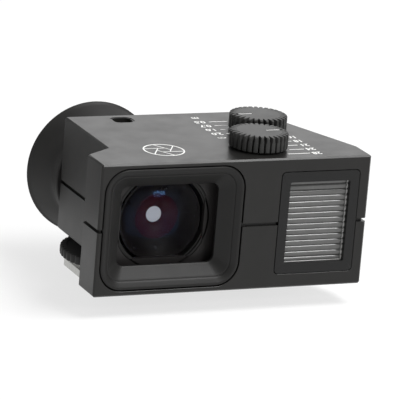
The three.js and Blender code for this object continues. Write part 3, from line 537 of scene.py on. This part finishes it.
def hood():
    """The rounded lip, then a slope down to the throat, and the seat behind it."""
    hw, hh, r = HOOD_HW + HOOD_FIT, HOOD_HH + HOOD_FIT, HOOD_R + HOOD_FIT
    back, seat = HOOD_SIZE.hi.y, FRONT_Y + 1.2

    def at(d, depth):
        return (hw - d, hh - d, max(r - d, 0.4), FRONT_Y + depth)

    profile = [(0.0, 1.2), (0.0, 0.5), (0.03, 0.3), (0.1, 0.14), (0.22, 0.04), (0.4, 0.0), (0.6, 0.0),
               (0.8, 0.06), (1.0, 0.17), (1.3, 0.36), (1.6, 0.56), (1.74, 0.68), (1.8, 0.82), (1.86, 0.88),
               (1.98, 0.88), (2.12, 0.95)]
    sections = [at(d, depth) for d, depth in profile]
    start, steps = at(2.12, 0.95), 10
    for i in range(1, steps + 1):
        t = i / steps
        sections.append((start[0] + (THROAT_HW - start[0]) * t, start[1] + (THROAT_HH - start[1]) * t,
                         start[2] + (THROAT_R - start[2]) * t, FRONT_Y + 0.95 + 2.05 * t))
    sections += [(THROAT_HW - 0.02, THROAT_HH - 0.02, THROAT_R, FRONT_Y + 3.1),
                 (THROAT_HW, THROAT_HH, THROAT_R, FRONT_Y + 3.25),
                 (THROAT_HW, THROAT_HH, THROAT_R, FRONT_Y + 3.8),
                 (13.9, 11.2, 3.0, FRONT_Y + 3.8), (13.9, 11.2, 3.0, back),
                 (15.3, 12.6, 4.2, back), (15.3, 12.6, 4.2, seat), (hw, hh, r, seat)]
    piece(loft_ring("hood", 0, sections, sharp=40, steps=16), "housing", HOOD, "hood_black", "front_hood")


BOARD_HOLE = 11.45


def lens_board():
    size = Box("lens_board")
    outer = rounded(0, AXIS_Z, size.size.x / 2, size.size.z / 2, 4.2, 12)
    circle = []
    for x, z in outer:
        a = math.atan2(z - AXIS_Z, x)
        circle.append((BOARD_HOLE * math.cos(a), AXIS_Z + BOARD_HOLE * math.sin(a)))
    front, back = size.lo.y, size.hi.y
    loops = [(outer, front), (circle, front), (circle, back), (outer, back)]
    rings = [[(x, y, z) for x, z in loop] for loop, y in loops]
    board = mesh_object("board", [v for ring in rings for v in ring], bridge(rings, closed=True))
    piece(board, "housing", BOARD, "hood_black", "lens_board")


def cap(vertex_y, sphere_r, rim_r, steps=16):
    """A lens face from the axis out to the rim, bowed towards -Y."""
    points = []
    for i in range(steps + 1):
        r = rim_r * i / steps
        points.append((max(r, 0.001), vertex_y + sphere_r - math.sqrt(sphere_r ** 2 - r ** 2)))
    return points


def objective():
    """The ring, the coated faces, a dark red face painted as a coating's reflection, and the dark well seen
    through the hood, ending in a small bright disc.
    """
    cell = Box("objective_cell")
    centre = (0, 0, AXIS_Z)
    front, flange = cell.lo.y, Box("lens_board").hi.y + GAP
    lip = 10.75
    profile = [(lip, front + 0.55), (lip, front + 0.12), (lip + 0.05, front + 0.03), (lip + 0.15, front),
               (11.25, front), (11.37, front + 0.05), (11.4, front + 0.15), (11.4, flange), (12.4, flange),
               (12.4, flange + 1), (11.4, flange + 1), (11.4, cell.hi.y), (10.5, cell.hi.y),
               (10.5, front + 0.6), (lip, front + 0.55)]
    piece(lathe("cell_ring", profile, centre, "Y", 160), "housing", HOOD, "hood_black", "objective_cell")

    lens = Box("objective_lens")
    rim_r = lens.size.x / 2
    face = cap(lens.lo.y, 60, rim_r)
    thin = [(r, y + 0.35) for r, y in reversed(face)]
    front_lens = lathe("front_lens", face + thin, centre, "Y", 160, sharp=60)
    piece(front_lens, "housing", FRONT_COAT, "optical_glass", "objective_lens")

    rear = cap(lens.lo.y + 0.1, 16, 7.9, 20)
    rear += [(r, y + 0.06) for r, y in reversed(rear)]
    rear_lens = lathe("rear_lens_face", rear, centre, "Y", 160, sharp=60)
    piece(rear_lens, "housing", REAR_COAT, "optical_glass")

    base = lens.lo.y + 1.25
    bowl = [(9.75, base), (9.4, base + 0.02), (8.9, base + 0.3), (8.2, base + 0.75), (7.4, base + 1.2),
            (6.6, base + 1.6), (5.9, base + 1.9), (5.3, base + 2.1)]
    inner = [(5.2, base + 2.12), (5.1, base + 2.2), (4.6, base + 2.6), (3.7, base + 3.1), (2.8, base + 3.45),
             (2.1, base + 3.65), (1.85, base + 3.7)]
    outer = [(1.85, base + 4.1), (9.75, base + 4.1), (9.75, base)]
    well = lathe("lens_well", bowl + inner + outer, centre, "Y", 128, sharp=30)
    piece(well, "housing", WELL, "inner_black", "objective_ring")
    coated = [(r - 0.04, y - 0.04) for r, y in inner]
    zone = coated + [(r, y + 0.03) for r, y in reversed(coated)] + [coated[0]]
    # its dark red colour is a painted reflection of the coating
    piece(lathe("inner_lens_red_reflection", zone, centre, "Y", 128), "housing", RED_REFLECTION, "optical_glass")
    disc = [(0.001, base + 3.66), (1.72, base + 3.66), (1.82, base + 3.7), (1.82, base + 3.95),
            (0.001, base + 3.95)]
    piece(lathe("eyepiece_light_disc", disc, centre, "Y", 64), "housing", PUPIL, "optical_glass")


# ------------------------------------------------------------------ illumination window
GLASS_HW, GLASS_HH, RIBS = 7.35, 9.4, 15
RIB_VALLEY = 0.38
HIGHLIGHT_STRIP = 0.3           # width of the strip painted light grey as a highlight on the pane's right cut edge
# one rib from its lower valley upwards: share of the pitch, depth behind the crest; a flat facet ends its top
RIB_SECTION = ((0, RIB_VALLEY), (0.05, 0.25), (0.15, 0.12), (0.35, 0.04), (0.6, 0), (0.78, 0),
               (0.8, 0.015), (0.97, 0.235))


def extrude(name, outline, x0, x1):
    """An outline of (y, z) drawn out along X."""
    count = len(outline)
    verts = [(x, y, z) for x in (x0, x1) for y, z in outline]
    faces = [tuple(range(count)), tuple(reversed(range(count, 2 * count)))]
    faces += [(i, (i + 1) % count, count + (i + 1) % count, count + i) for i in range(count)]
    return mesh_object(name, verts, faces, 20)


def window():
    """The flush surround, the ribbed pane and strips on its cut edges painted light grey as highlights."""
    hw, hh, r = FRAME_HW + 0.16, FRAME_HH + 0.16, FRAME_R + 0.16
    back, seat, e = FRAME_SIZE.hi.y, FRONT_Y + 1.2, 0.06
    mouth = (GLASS_HW, GLASS_HH, 0.4)
    sections = [(hw, hh, r, seat), (hw, hh, r, FRONT_Y + e),
                (hw - e * 0.3, hh - e * 0.3, r, FRONT_Y + e * 0.3),
                (hw - e, hh - e, r - e, FRONT_Y), (mouth[0] + e, mouth[1] + e, 0.4 + e, FRONT_Y),
                (mouth[0] + e * 0.3, mouth[1] + e * 0.3, 0.45, FRONT_Y + e * 0.3),
                (*mouth, FRONT_Y + e), (*mouth, FRONT_Y + 0.8),
                (mouth[0] + 0.6, mouth[1] + 0.6, 0.4, FRONT_Y + 0.8),
                (mouth[0] + 0.6, mouth[1] + 0.6, 0.4, back),
                (mouth[0] + 1.55, mouth[1] + 1.55, 0.8, back), (mouth[0] + 1.55, mouth[1] + 1.55, 0.8, seat)]
    surround = loft_ring("window_surround", WINDOW_X, sections, sharp=34, steps=6)
    piece(surround, "housing", BEZEL, "bezel_black", "window_frame")

    glass = Box("window_glass")
    pitch = glass.size.z / RIBS
    front, back = glass.lo.y, glass.hi.y
    outline = []
    for rib in range(RIBS):
        for share, depth in RIB_SECTION:
            outline.append((front + depth, glass.lo.z + (rib + share) * pitch))
    outline += [(front + RIB_VALLEY, glass.hi.z), (back, glass.hi.z), (back, glass.lo.z)]
    pane = extrude("ribbed_pane", outline, glass.lo.x, glass.hi.x)
    piece(pane, "housing", RIBBED, "ribbed_glass", "window_glass")

    # strips on the pane's cut edges beside and under the ribs, painted light grey as a highlight
    right, low = WINDOW_X + GLASS_HW, AXIS_Z - GLASS_HH
    jag = [(y - 0.02, z) for y, z in outline[:-2]]
    jag += [(glass.lo.y + 0.5, glass.hi.z), (glass.lo.y + 0.5, glass.lo.z)]
    side_highlight = extrude("pane_side_highlight", jag, right - HIGHLIGHT_STRIP, right)
    piece(side_highlight, "housing", EDGE_HIGHLIGHT_PAINT, "ribbed_glass")
    low_highlight = block("pane_low_highlight", (WINDOW_X - GLASS_HW, front - 0.2, low), (right, front, low + 0.16))
    round_edges(low_highlight, 0.05, 2)
    piece(low_highlight, "housing", EDGE_HIGHLIGHT_PAINT, "ribbed_glass")


# ------------------------------------------------------------------ eyecup and eyepiece
def eyepiece():
    cup = Box("eyecup")
    centre = (0, 0, AXIS_Z)
    front, back, rim = cup.lo.y, cup.hi.y, cup.size.x / 2
    neck, bore, bowl = 12.1, EYE_BORE, cup.lo.y + 5.3
    profile = [(bore, front), (neck - 0.4, front), *arc(neck - 0.4, front + 0.4, 0.4, -90, 0, 5),
               (neck, front + 2.0), (neck + 0.05, front + 2.5), (neck + 0.2, front + 2.95),
               (neck + 0.55, front + 3.5), (neck + 1.3, front + 4.8), (neck + 2.2, front + 6.5),
               (neck + 3.0, front + 8.0), (neck + 3.4, front + 8.8),
               *arc(rim - 0.5, back - 0.5, 0.5, -20, 150, 10),
               (rim - 1.35, back - 0.75), (rim - 1.9, back - 1.7), (rim - 3.2, back - 3.2),
               (bore + 3.0, bowl + 0.42), (bore + 2.4, bowl + 0.1), (bore + 1.8, bowl), (bore, bowl),
               (bore, front)]
    moulding = lathe("eyecup_moulding", profile, centre, "Y", 160, sharp=40)
    piece(moulding, "housing", RUBBER, "eyecup_rubber", "eyecup")

    tube = Box("eyepiece_tube")
    inner, seat, outer = 6.6, 7.2, 8.0
    flange = REAR_Y - WALL - GAP
    profile = [(inner, tube.lo.y), (outer, tube.lo.y), (outer, flange - 0.6), (9.4, flange - 0.6),
               (9.4, flange), (outer, flange), (outer, tube.hi.y - 0.2), (outer - 0.2, tube.hi.y),
               (seat + 0.1, tube.hi.y), (seat, tube.hi.y - 0.1)]
    ridges = 9
    for i in range(ridges):
        y = tube.hi.y - 0.3 - i * 0.16
        profile += [(seat, y), (seat + 0.06, y - 0.08)]
    profile += [(seat, 9.0), (inner, 9.0), (inner, tube.lo.y)]
    barrel = lathe("eyepiece_barrel", profile, centre, "Y", 128)
    piece(barrel, "housing", INNER, "inner_black", "eyepiece_tube")

    ring = Box("eyepiece_ring")
    r, opening = ring.size.x / 2, 5.4
    profile = [(opening, ring.lo.y), (r, ring.lo.y), (r, ring.hi.y - 0.12), (r - 0.12, ring.hi.y),
               (opening + 0.9, ring.hi.y), (opening, ring.hi.y - 0.7), (opening, ring.lo.y)]
    stop = lathe("eyepiece_stop", profile, centre, "Y", 128)
    piece(stop, "housing", HOOD, "inner_black", "eyepiece_ring")

    lens = Box("eyepiece_lens")
    front_face = cap(lens.lo.y, 30, lens.size.x / 2)
    rear_face = [(r, lens.lo.y + lens.hi.y - y) for r, y in reversed(front_face)]
    eye_lens = lathe("eye_lens", front_face + rear_face, centre, "Y", 96, sharp=60)
    piece(eye_lens, "housing", CLEAR, "optical_glass", "eyepiece_lens")


# ------------------------------------------------------------------ dials and their scales
TEETH, KNURL = 30, 1.0     # ridges round a dial and the depth of the gaps between them
RIDGE, VALLEY = 0.34, 0.47             # where a ridge's face ends and the gap's floor begins, in pitches
NOTCH_SHARE, NOTCH_DEPTH = 0.14, 0.6   # how much wider and deeper each gap becomes at the crown


def dial(name, body, direction):
    """Knurled dial: flat ridges, gaps that open into notches at the crown, and a filled index groove."""
    size = Box(name)
    at, r, top, bottom = size.mid, size.size.x / 2, size.hi.z, size.lo.z
    crown_r = r - 1.65

    def outline(a, flare=0.0):
        phase = (a * TEETH / (2 * math.pi)) % 1
        off = min(phase, 1 - phase)              # 0 in the middle of a ridge, 0.5 in the middle of a gap
        ridge, valley = RIDGE - NOTCH_SHARE * flare, VALLEY - NOTCH_SHARE * flare / 2
        knurl = KNURL + NOTCH_DEPTH * flare
        if off < ridge:
            return r - 0.05 * (off / ridge) ** 2
        if off < valley:
            return r - 0.05 - (knurl - 0.05) * (off - ridge) / (valley - ridge)
        return r - knurl

    def crown(radius):
        x = max(0.0, radius - crown_r) / (r - crown_r)
        return top - 0.08 * x ** 1.5 - 0.3 * (1 - math.sqrt(max(0.0, 1 - x ** 6)))

    def shape(level, share, a):
        if level == 0:
            return outline(a) - 0.15, bottom
        if level == 1:
            return outline(a), bottom + 0.15
        if level == 2:
            return outline(a), top - 1.3
        edge = outline(a, 1.0)
        if level == 3:
            return edge - 0.02, crown(edge - 0.02)
        radius = (edge - 0.02) + (crown_r + 0.02 - (edge - 0.02)) * share
        return radius, crown(radius)

    levels = [(0, 0), (1, 0), (2, 0), (3, 0)]
    levels += [(4, share) for share in (0.03, 0.07, 0.12, 0.2, 0.3, 0.45, 0.6, 0.8, 1)]
    segments = TEETH * 20
    rings = []
    for level, share in levels:
        ring = []
        for i in range(segments):
            a = 2 * math.pi * i / segments
            radius, height = shape(level, share, a)
            ring.append((at.x + radius * math.cos(a), at.y + radius * math.sin(a), height))
        rings.append(ring)
    for radius, height in ((crown_r, top - 0.02), (crown_r - 0.12, top)):
        rings.append([(at.x + radius * math.cos(2 * math.pi * i / segments),
                       at.y + radius * math.sin(2 * math.pi * i / segments), height)
                      for i in range(segments)])
    verts = [v for ring in rings for v in ring]
    faces = bridge(rings)
    faces += [tuple(range(segments)), tuple(range((len(rings) - 1) * segments, len(rings) * segments))]
    knob = mesh_object(f"{name}_knob", verts, faces)
    near, far = sorted((at.x + direction * 1.6, at.x + direction * 5.6))
    groove = block("c9", (near, at.y - 0.36, top - 0.3), (far, at.y + 0.2, top + 1))
    bore = lathe("c10", [(1.8, bottom - 1), (1.8, top - 0.8)], (at.x, at.y, 0), "Z", 32)
    cut(knob, [groove, bore])
    smooth(knob, 26, weighted=True)
    piece(knob, body, DIAL, "dial_black", name)
    near, far = sorted((at.x + direction * 1.62, at.x + direction * 4.95))
    fill = block(f"{name}_index", (near, at.y, top - 0.3), (far, at.y + 0.17, top - 0.03))
    round_edges(fill, 0.04, 2)
    piece(fill, body, PAINT, "white_plastic")


LETTER = 2.35              # type size that gives capitals about 1.7 mm high
INK = 0.025                # how far the filled engraving stands above the plate
INK_DEPTH = 0.05           # how far it reaches into the plate
LINE_HALF = 0.15


def label(name, text, x, y, align):
    """A number on the top plate, read from behind. x is where the text ends on the dial's side."""
    curve = bpy.data.curves.new(name, "FONT")
    curve.body = text
    curve.size = LETTER * MM
    curve.extrude = INK * MM
    curve.offset = 0.045 * MM
    curve.align_x = align
    curve.align_y = "CENTER"
    curve.space_character = 0.95
    curve.resolution_u = 3
    obj = bpy.data.objects.new(name, curve)
    scene.collection.objects.link(obj)
    obj.location = Vector((x, y, TOP_Z)) * MM
    obj.rotation_euler = (0, 0, math.pi)
    piece(obj, "housing", PAINT, "white_plastic")


def line(name, x0, x1, y):
    mark = block(name, (x0, y - LINE_HALF, TOP_Z - INK_DEPTH), (x1, y + LINE_HALF, TOP_Z + INK))
    piece(mark, "housing", PAINT, "white_plastic")


def scales():
    """Two columns of dial numbers and the lines that lead from them towards their dial."""
    pitch = 3.3
    distance, focal = Box("distance_dial").mid, Box("focal_dial").mid
    clear = Box("distance_dial").size.x / 2 + 0.4
    first = distance.y + 8.0
    label("distance_unit", "m", 18.1, first + 3.5, "RIGHT")
    for row, text in enumerate(("0.5", "0.7", "1.0", "2.0", "∞")):
        y = first - row * pitch
        label(f"distance_{row}", text, 17.2, y, "RIGHT")
        reach = math.sqrt(max(clear ** 2 - (y - distance.y) ** 2, 3.9 ** 2))
        if row < 4:
            line(f"distance_line_{row}", 20.9, distance.x - reach, y)
    first = focal.y + 7.3
    for row, text in enumerate(("16", "18", "21", "24", "28")):
        y = first - row * pitch
        label(f"focal_{row}", text, 36.2, y, "LEFT")
        reach = math.sqrt(max(clear ** 2 - (y - focal.y) ** 2, 4.6 ** 2))
        if row:
            line(f"focal_line_{row}", focal.x + reach, 33.4, y)


def emblem():
    """A ring with a plain iris mark, six blades round a hexagon."""
    x, y, outer, width = 0.76, -20.1, 4.7, 0.34
    z0, z1 = TOP_Z - INK_DEPTH, TOP_Z + INK
    profile = [(outer - width, z0), (outer, z0), (outer, z1), (outer - width, z1), (outer - width, z0)]
    piece(lathe("emblem_ring", profile, (x, y, 0), "Z", 128), "housing", PAINT, "white_plastic")
    inner, blades, half = 1.7, 6, 0.12
    for k in range(blades):
        a = 2 * math.pi * k / blades
        start = Vector((inner * math.cos(a), inner * math.sin(a)))
        along = Vector((-math.sin(a + math.pi / blades), math.cos(a + math.pi / blades)))
        reach = 0.0
        while (start + along * reach).length < outer - width:
            reach += 0.05
        across = Vector((-along.y, along.x)) * half
        near, far = start - along * 0.1, start + along * reach
        corners = [near - across, far - across, far + across, near + across]
        blade = prism(f"emblem_blade_{k}", [(x + c.x, y + c.y) for c in corners], z0, z1)
        piece(blade, "housing", PAINT, "white_plastic")


# ------------------------------------------------------------------ shoe foot, lock wheel, screws
def lock_wheel():
    size = Box("lock_wheel")
    r, bottom, top = size.size.x / 2, size.lo.z, size.hi.z
    teeth, depth, bore = 48, 0.5, 5.8

    def outline(a):
        phase = (a * teeth / (2 * math.pi)) % 1
        off = abs(phase - 0.5) * 2
        return r - depth + depth * min(1.0, 1.35 * off) ** 0.8

    segments = teeth * 12
    levels = [(0.35, bottom), (0.12, bottom + 0.08), (0.0, bottom + 0.3), (0.0, top - 0.3),
              (0.12, top - 0.08), (0.35, top), (1.4, top)]
    rings = []
    for back_off, z in levels:
        ring = []
        for i in range(segments):
            a = 2 * math.pi * i / segments
            radius = outline(a) - back_off if back_off < 1 else r - back_off
            ring.append((radius * math.cos(a), radius * math.sin(a), z))
        rings.append(ring)
    for radius, z in ((r - 1.6, top - 0.2), (bore + 2.2, top - 0.2), (bore + 2, top), (bore, top),
                      (bore, bottom), (r - 1.3, bottom)):
        rings.append([(radius * math.cos(2 * math.pi * i / segments),
                       radius * math.sin(2 * math.pi * i / segments), z) for i in range(segments)])
    verts = [v for ring in rings for v in ring]
    wheel = mesh_object("lock_ring", verts, bridge(rings, closed=True), 30, weighted=True)
    piece(wheel, "lock_wheel", DIAL, "dial_black", "lock_wheel")


def foot():
    size = Box("foot_plate")
    outline = rounded(0, 0, size.size.x / 2, size.size.y / 2, 0.8, 4)
    plate = prism("foot", outline, 0, size.hi.z)
    round_edges(plate, 0.3, 3, keep=lambda e: abs(e.verts[0].co.z - e.verts[1].co.z) < 1e-7)
    sinks = []
    for index in range(1, 5):
        screw = Box(f"foot_screw_{index}").mid
        sink = [(1.75, -1), (1.75, 0.55), (1.0, 1.1), (1.0, 4)]
        sinks.append(lathe("c11", sink, (screw.x, screw.y, 0), "Z", 32))
    cut(plate, sinks)
    smooth(plate, 30, weighted=True)
    piece(plate, "housing", STEEL, "bright_steel", "foot_plate")


# ------------------------------------------------------------------ spirit level
def level():
    vial = Box("level_vial")
    axis = (0, vial.mid.y, vial.mid.z)
    r, left, right = vial.size.z / 2, vial.lo.x, vial.hi.x
    profile = [(0.001, left), (r * 0.6, left + 0.15), (r * 0.9, left + 0.6), (r, left + 1.2),
               (r, right - 1.2), (r * 0.9, right - 0.6), (r * 0.6, right - 0.15), (0.001, right)]
    piece(lathe("level_tube", profile, axis, "X", 64), "housing", LEVEL, "level_glass", "level_vial")
    middle = (left + right) / 2
    for name, x in (("left", middle - 1.1), ("right", middle + 1.1)):
        band = [(r + 0.01, x - 0.08), (r + 0.05, x - 0.08), (r + 0.05, x + 0.08), (r + 0.01, x + 0.08),
                (r + 0.01, x - 0.08)]
        piece(lathe(f"level_mark_{name}", band, axis, "X", 48), "housing", INNER, "inner_black")


housing()
hood()
lens_board()
objective()
window()
eyepiece()
dial("focal_dial", "focal_dial", 1)
dial("distance_dial", "distance_dial", -1)
scales()
emblem()
lock_wheel()
foot()
level()

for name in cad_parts:
    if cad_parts[name].hide_render:
        continue
    if any(word in name for word in ("screw", "shaft", "clip", "spring", "guide_pin", "washer", "pillar")):
        dress(name, STEEL)
    elif any(word in name for word in ("bush", "cam")):
        dress(name, BRASS)
    elif name in ("beam_splitter", "collimator_lens", "slot_window"):
        dress(name, CLEAR)
    elif name == "diffuser":
        dress(name, OPAL)
    elif name == "light_mirror":
        dress(name, SILVER)
    else:
        dress(name, INNER)


# ------------------------------------------------------------------ floor, light and camera
def aim(obj, target):
    direction = (Vector(target) - obj.location).normalized()
    obj.rotation_euler = direction.to_track_quat("-Z", "Y").to_euler()


LIT_POINT = Vector((0.012, -0.012, 0.02))


def softbox(name, direction, distance, size, radiance):
    """An area light of a given radiance, seen from the object in a direction."""
    data = bpy.data.lights.new(name, "AREA")
    data.shape = "RECTANGLE"
    data.size, data.size_y = size
    data.energy = radiance * math.pi * size[0] * size[1]
    obj = bpy.data.objects.new(name, data)
    scene.collection.objects.link(obj)
    obj.visible_camera = False
    obj.location = LIT_POINT + Vector(direction).normalized() * distance
    aim(obj, LIT_POINT)


def sheet(name, x0, x1, y0, y1, z, material):
    """A level rectangle for the stage."""
    obj = mesh_object(name, [(x0, y0, z), (x1, y0, z), (x1, y1, z), (x0, y1, z)], [(0, 1, 2, 3)])
    obj.data.materials.append(material)
    return obj


def studio():
    """A pale floor that glows, which keeps the shadow weak, three softboxes and a grey surrounding."""
    half = 4.0 / MM
    table = finish("light_table", (0.28, 0.28, 0.28), 0.9, specular=0.0, mottle=0.003, spread=0.02,
                   grain=0.5, depth=0.001, emission=(1, 1, 1), emission_strength=0.70)
    floor = sheet("floor", -half, half, -half, half, 0, table)
    # a grey card behind and to the left, seen only in reflections; it darkens what the left faces mirror
    card = finish("grey_card", (0.26, 0.26, 0.26), 0.9, specular=0.0, grain=0.5, depth=0.001)
    flag = sheet("grey_flag", -200, -30, 38, 400, 0.5, card)
    flag.visible_camera = flag.visible_shadow = flag.visible_diffuse = False
    softbox("overhead", (0.37, -0.27, 0.93), 1.0, (0.60, 0.42), 12.5)
    softbox("front_right", (0.30, -0.83, 0.45), 1.2, (0.40, 0.30), 9.0)
    softbox("behind", (0.46, 0.86, 0.36), 1.5, (1.5, 0.75), 1.25)
    world = bpy.data.worlds.new("studio")
    world.use_nodes = True
    scene.world = world
    tree = world.node_tree
    link = tree.links.new
    background = tree.nodes["Background"]
    place = tree.nodes.new("ShaderNodeTexCoord")
    parts = tree.nodes.new("ShaderNodeSeparateXYZ")
    link(place.outputs["Generated"], parts.inputs[0])
    ramp = tree.nodes.new("ShaderNodeValToRGB")
    ramp.color_ramp.elements[0].position, ramp.color_ramp.elements[0].color = 0.30, (0.4, 0.4, 0.4, 1)
    ramp.color_ramp.elements[1].position, ramp.color_ramp.elements[1].color = 0.75, (0.3, 0.3, 0.3, 1)
    link(parts.outputs["Z"], ramp.inputs["Fac"])
    link(ramp.outputs["Color"], background.inputs["Color"])
    background.inputs["Strength"].default_value = 1.05


AZIMUTH, ELEVATION, ROLL = math.radians(-24.794), math.radians(15.945), math.radians(4.770)
CAMERA_DISTANCE, LENS = 0.7208, 300.9


def camera():
    back = Vector((math.sin(AZIMUTH) * math.cos(ELEVATION), -math.cos(AZIMUTH) * math.cos(ELEVATION),
                   math.sin(ELEVATION)))
    right = Vector((math.cos(AZIMUTH), math.sin(AZIMUTH), 0))
    up = back.cross(right)
    rolled_right = math.cos(ROLL) * right + math.sin(ROLL) * up
    rolled_up = -math.sin(ROLL) * right + math.cos(ROLL) * up
    target = Vector((1.07, FRONT_Y - 10.44, TOP_Z - 5.47)) * MM
    data = bpy.data.cameras.new("camera")
    data.lens, data.sensor_width = LENS, 36
    data.clip_start, data.clip_end = 0.01, 20
    obj = bpy.data.objects.new("camera", data)
    scene.collection.objects.link(obj)
    turn = Matrix((rolled_right, rolled_up, back)).transposed()
    obj.matrix_world = Matrix.Translation(target + back * CAMERA_DISTANCE) @ turn.to_4x4()
    scene.camera = obj


studio()
camera()
scene.view_settings.view_transform = "Standard"
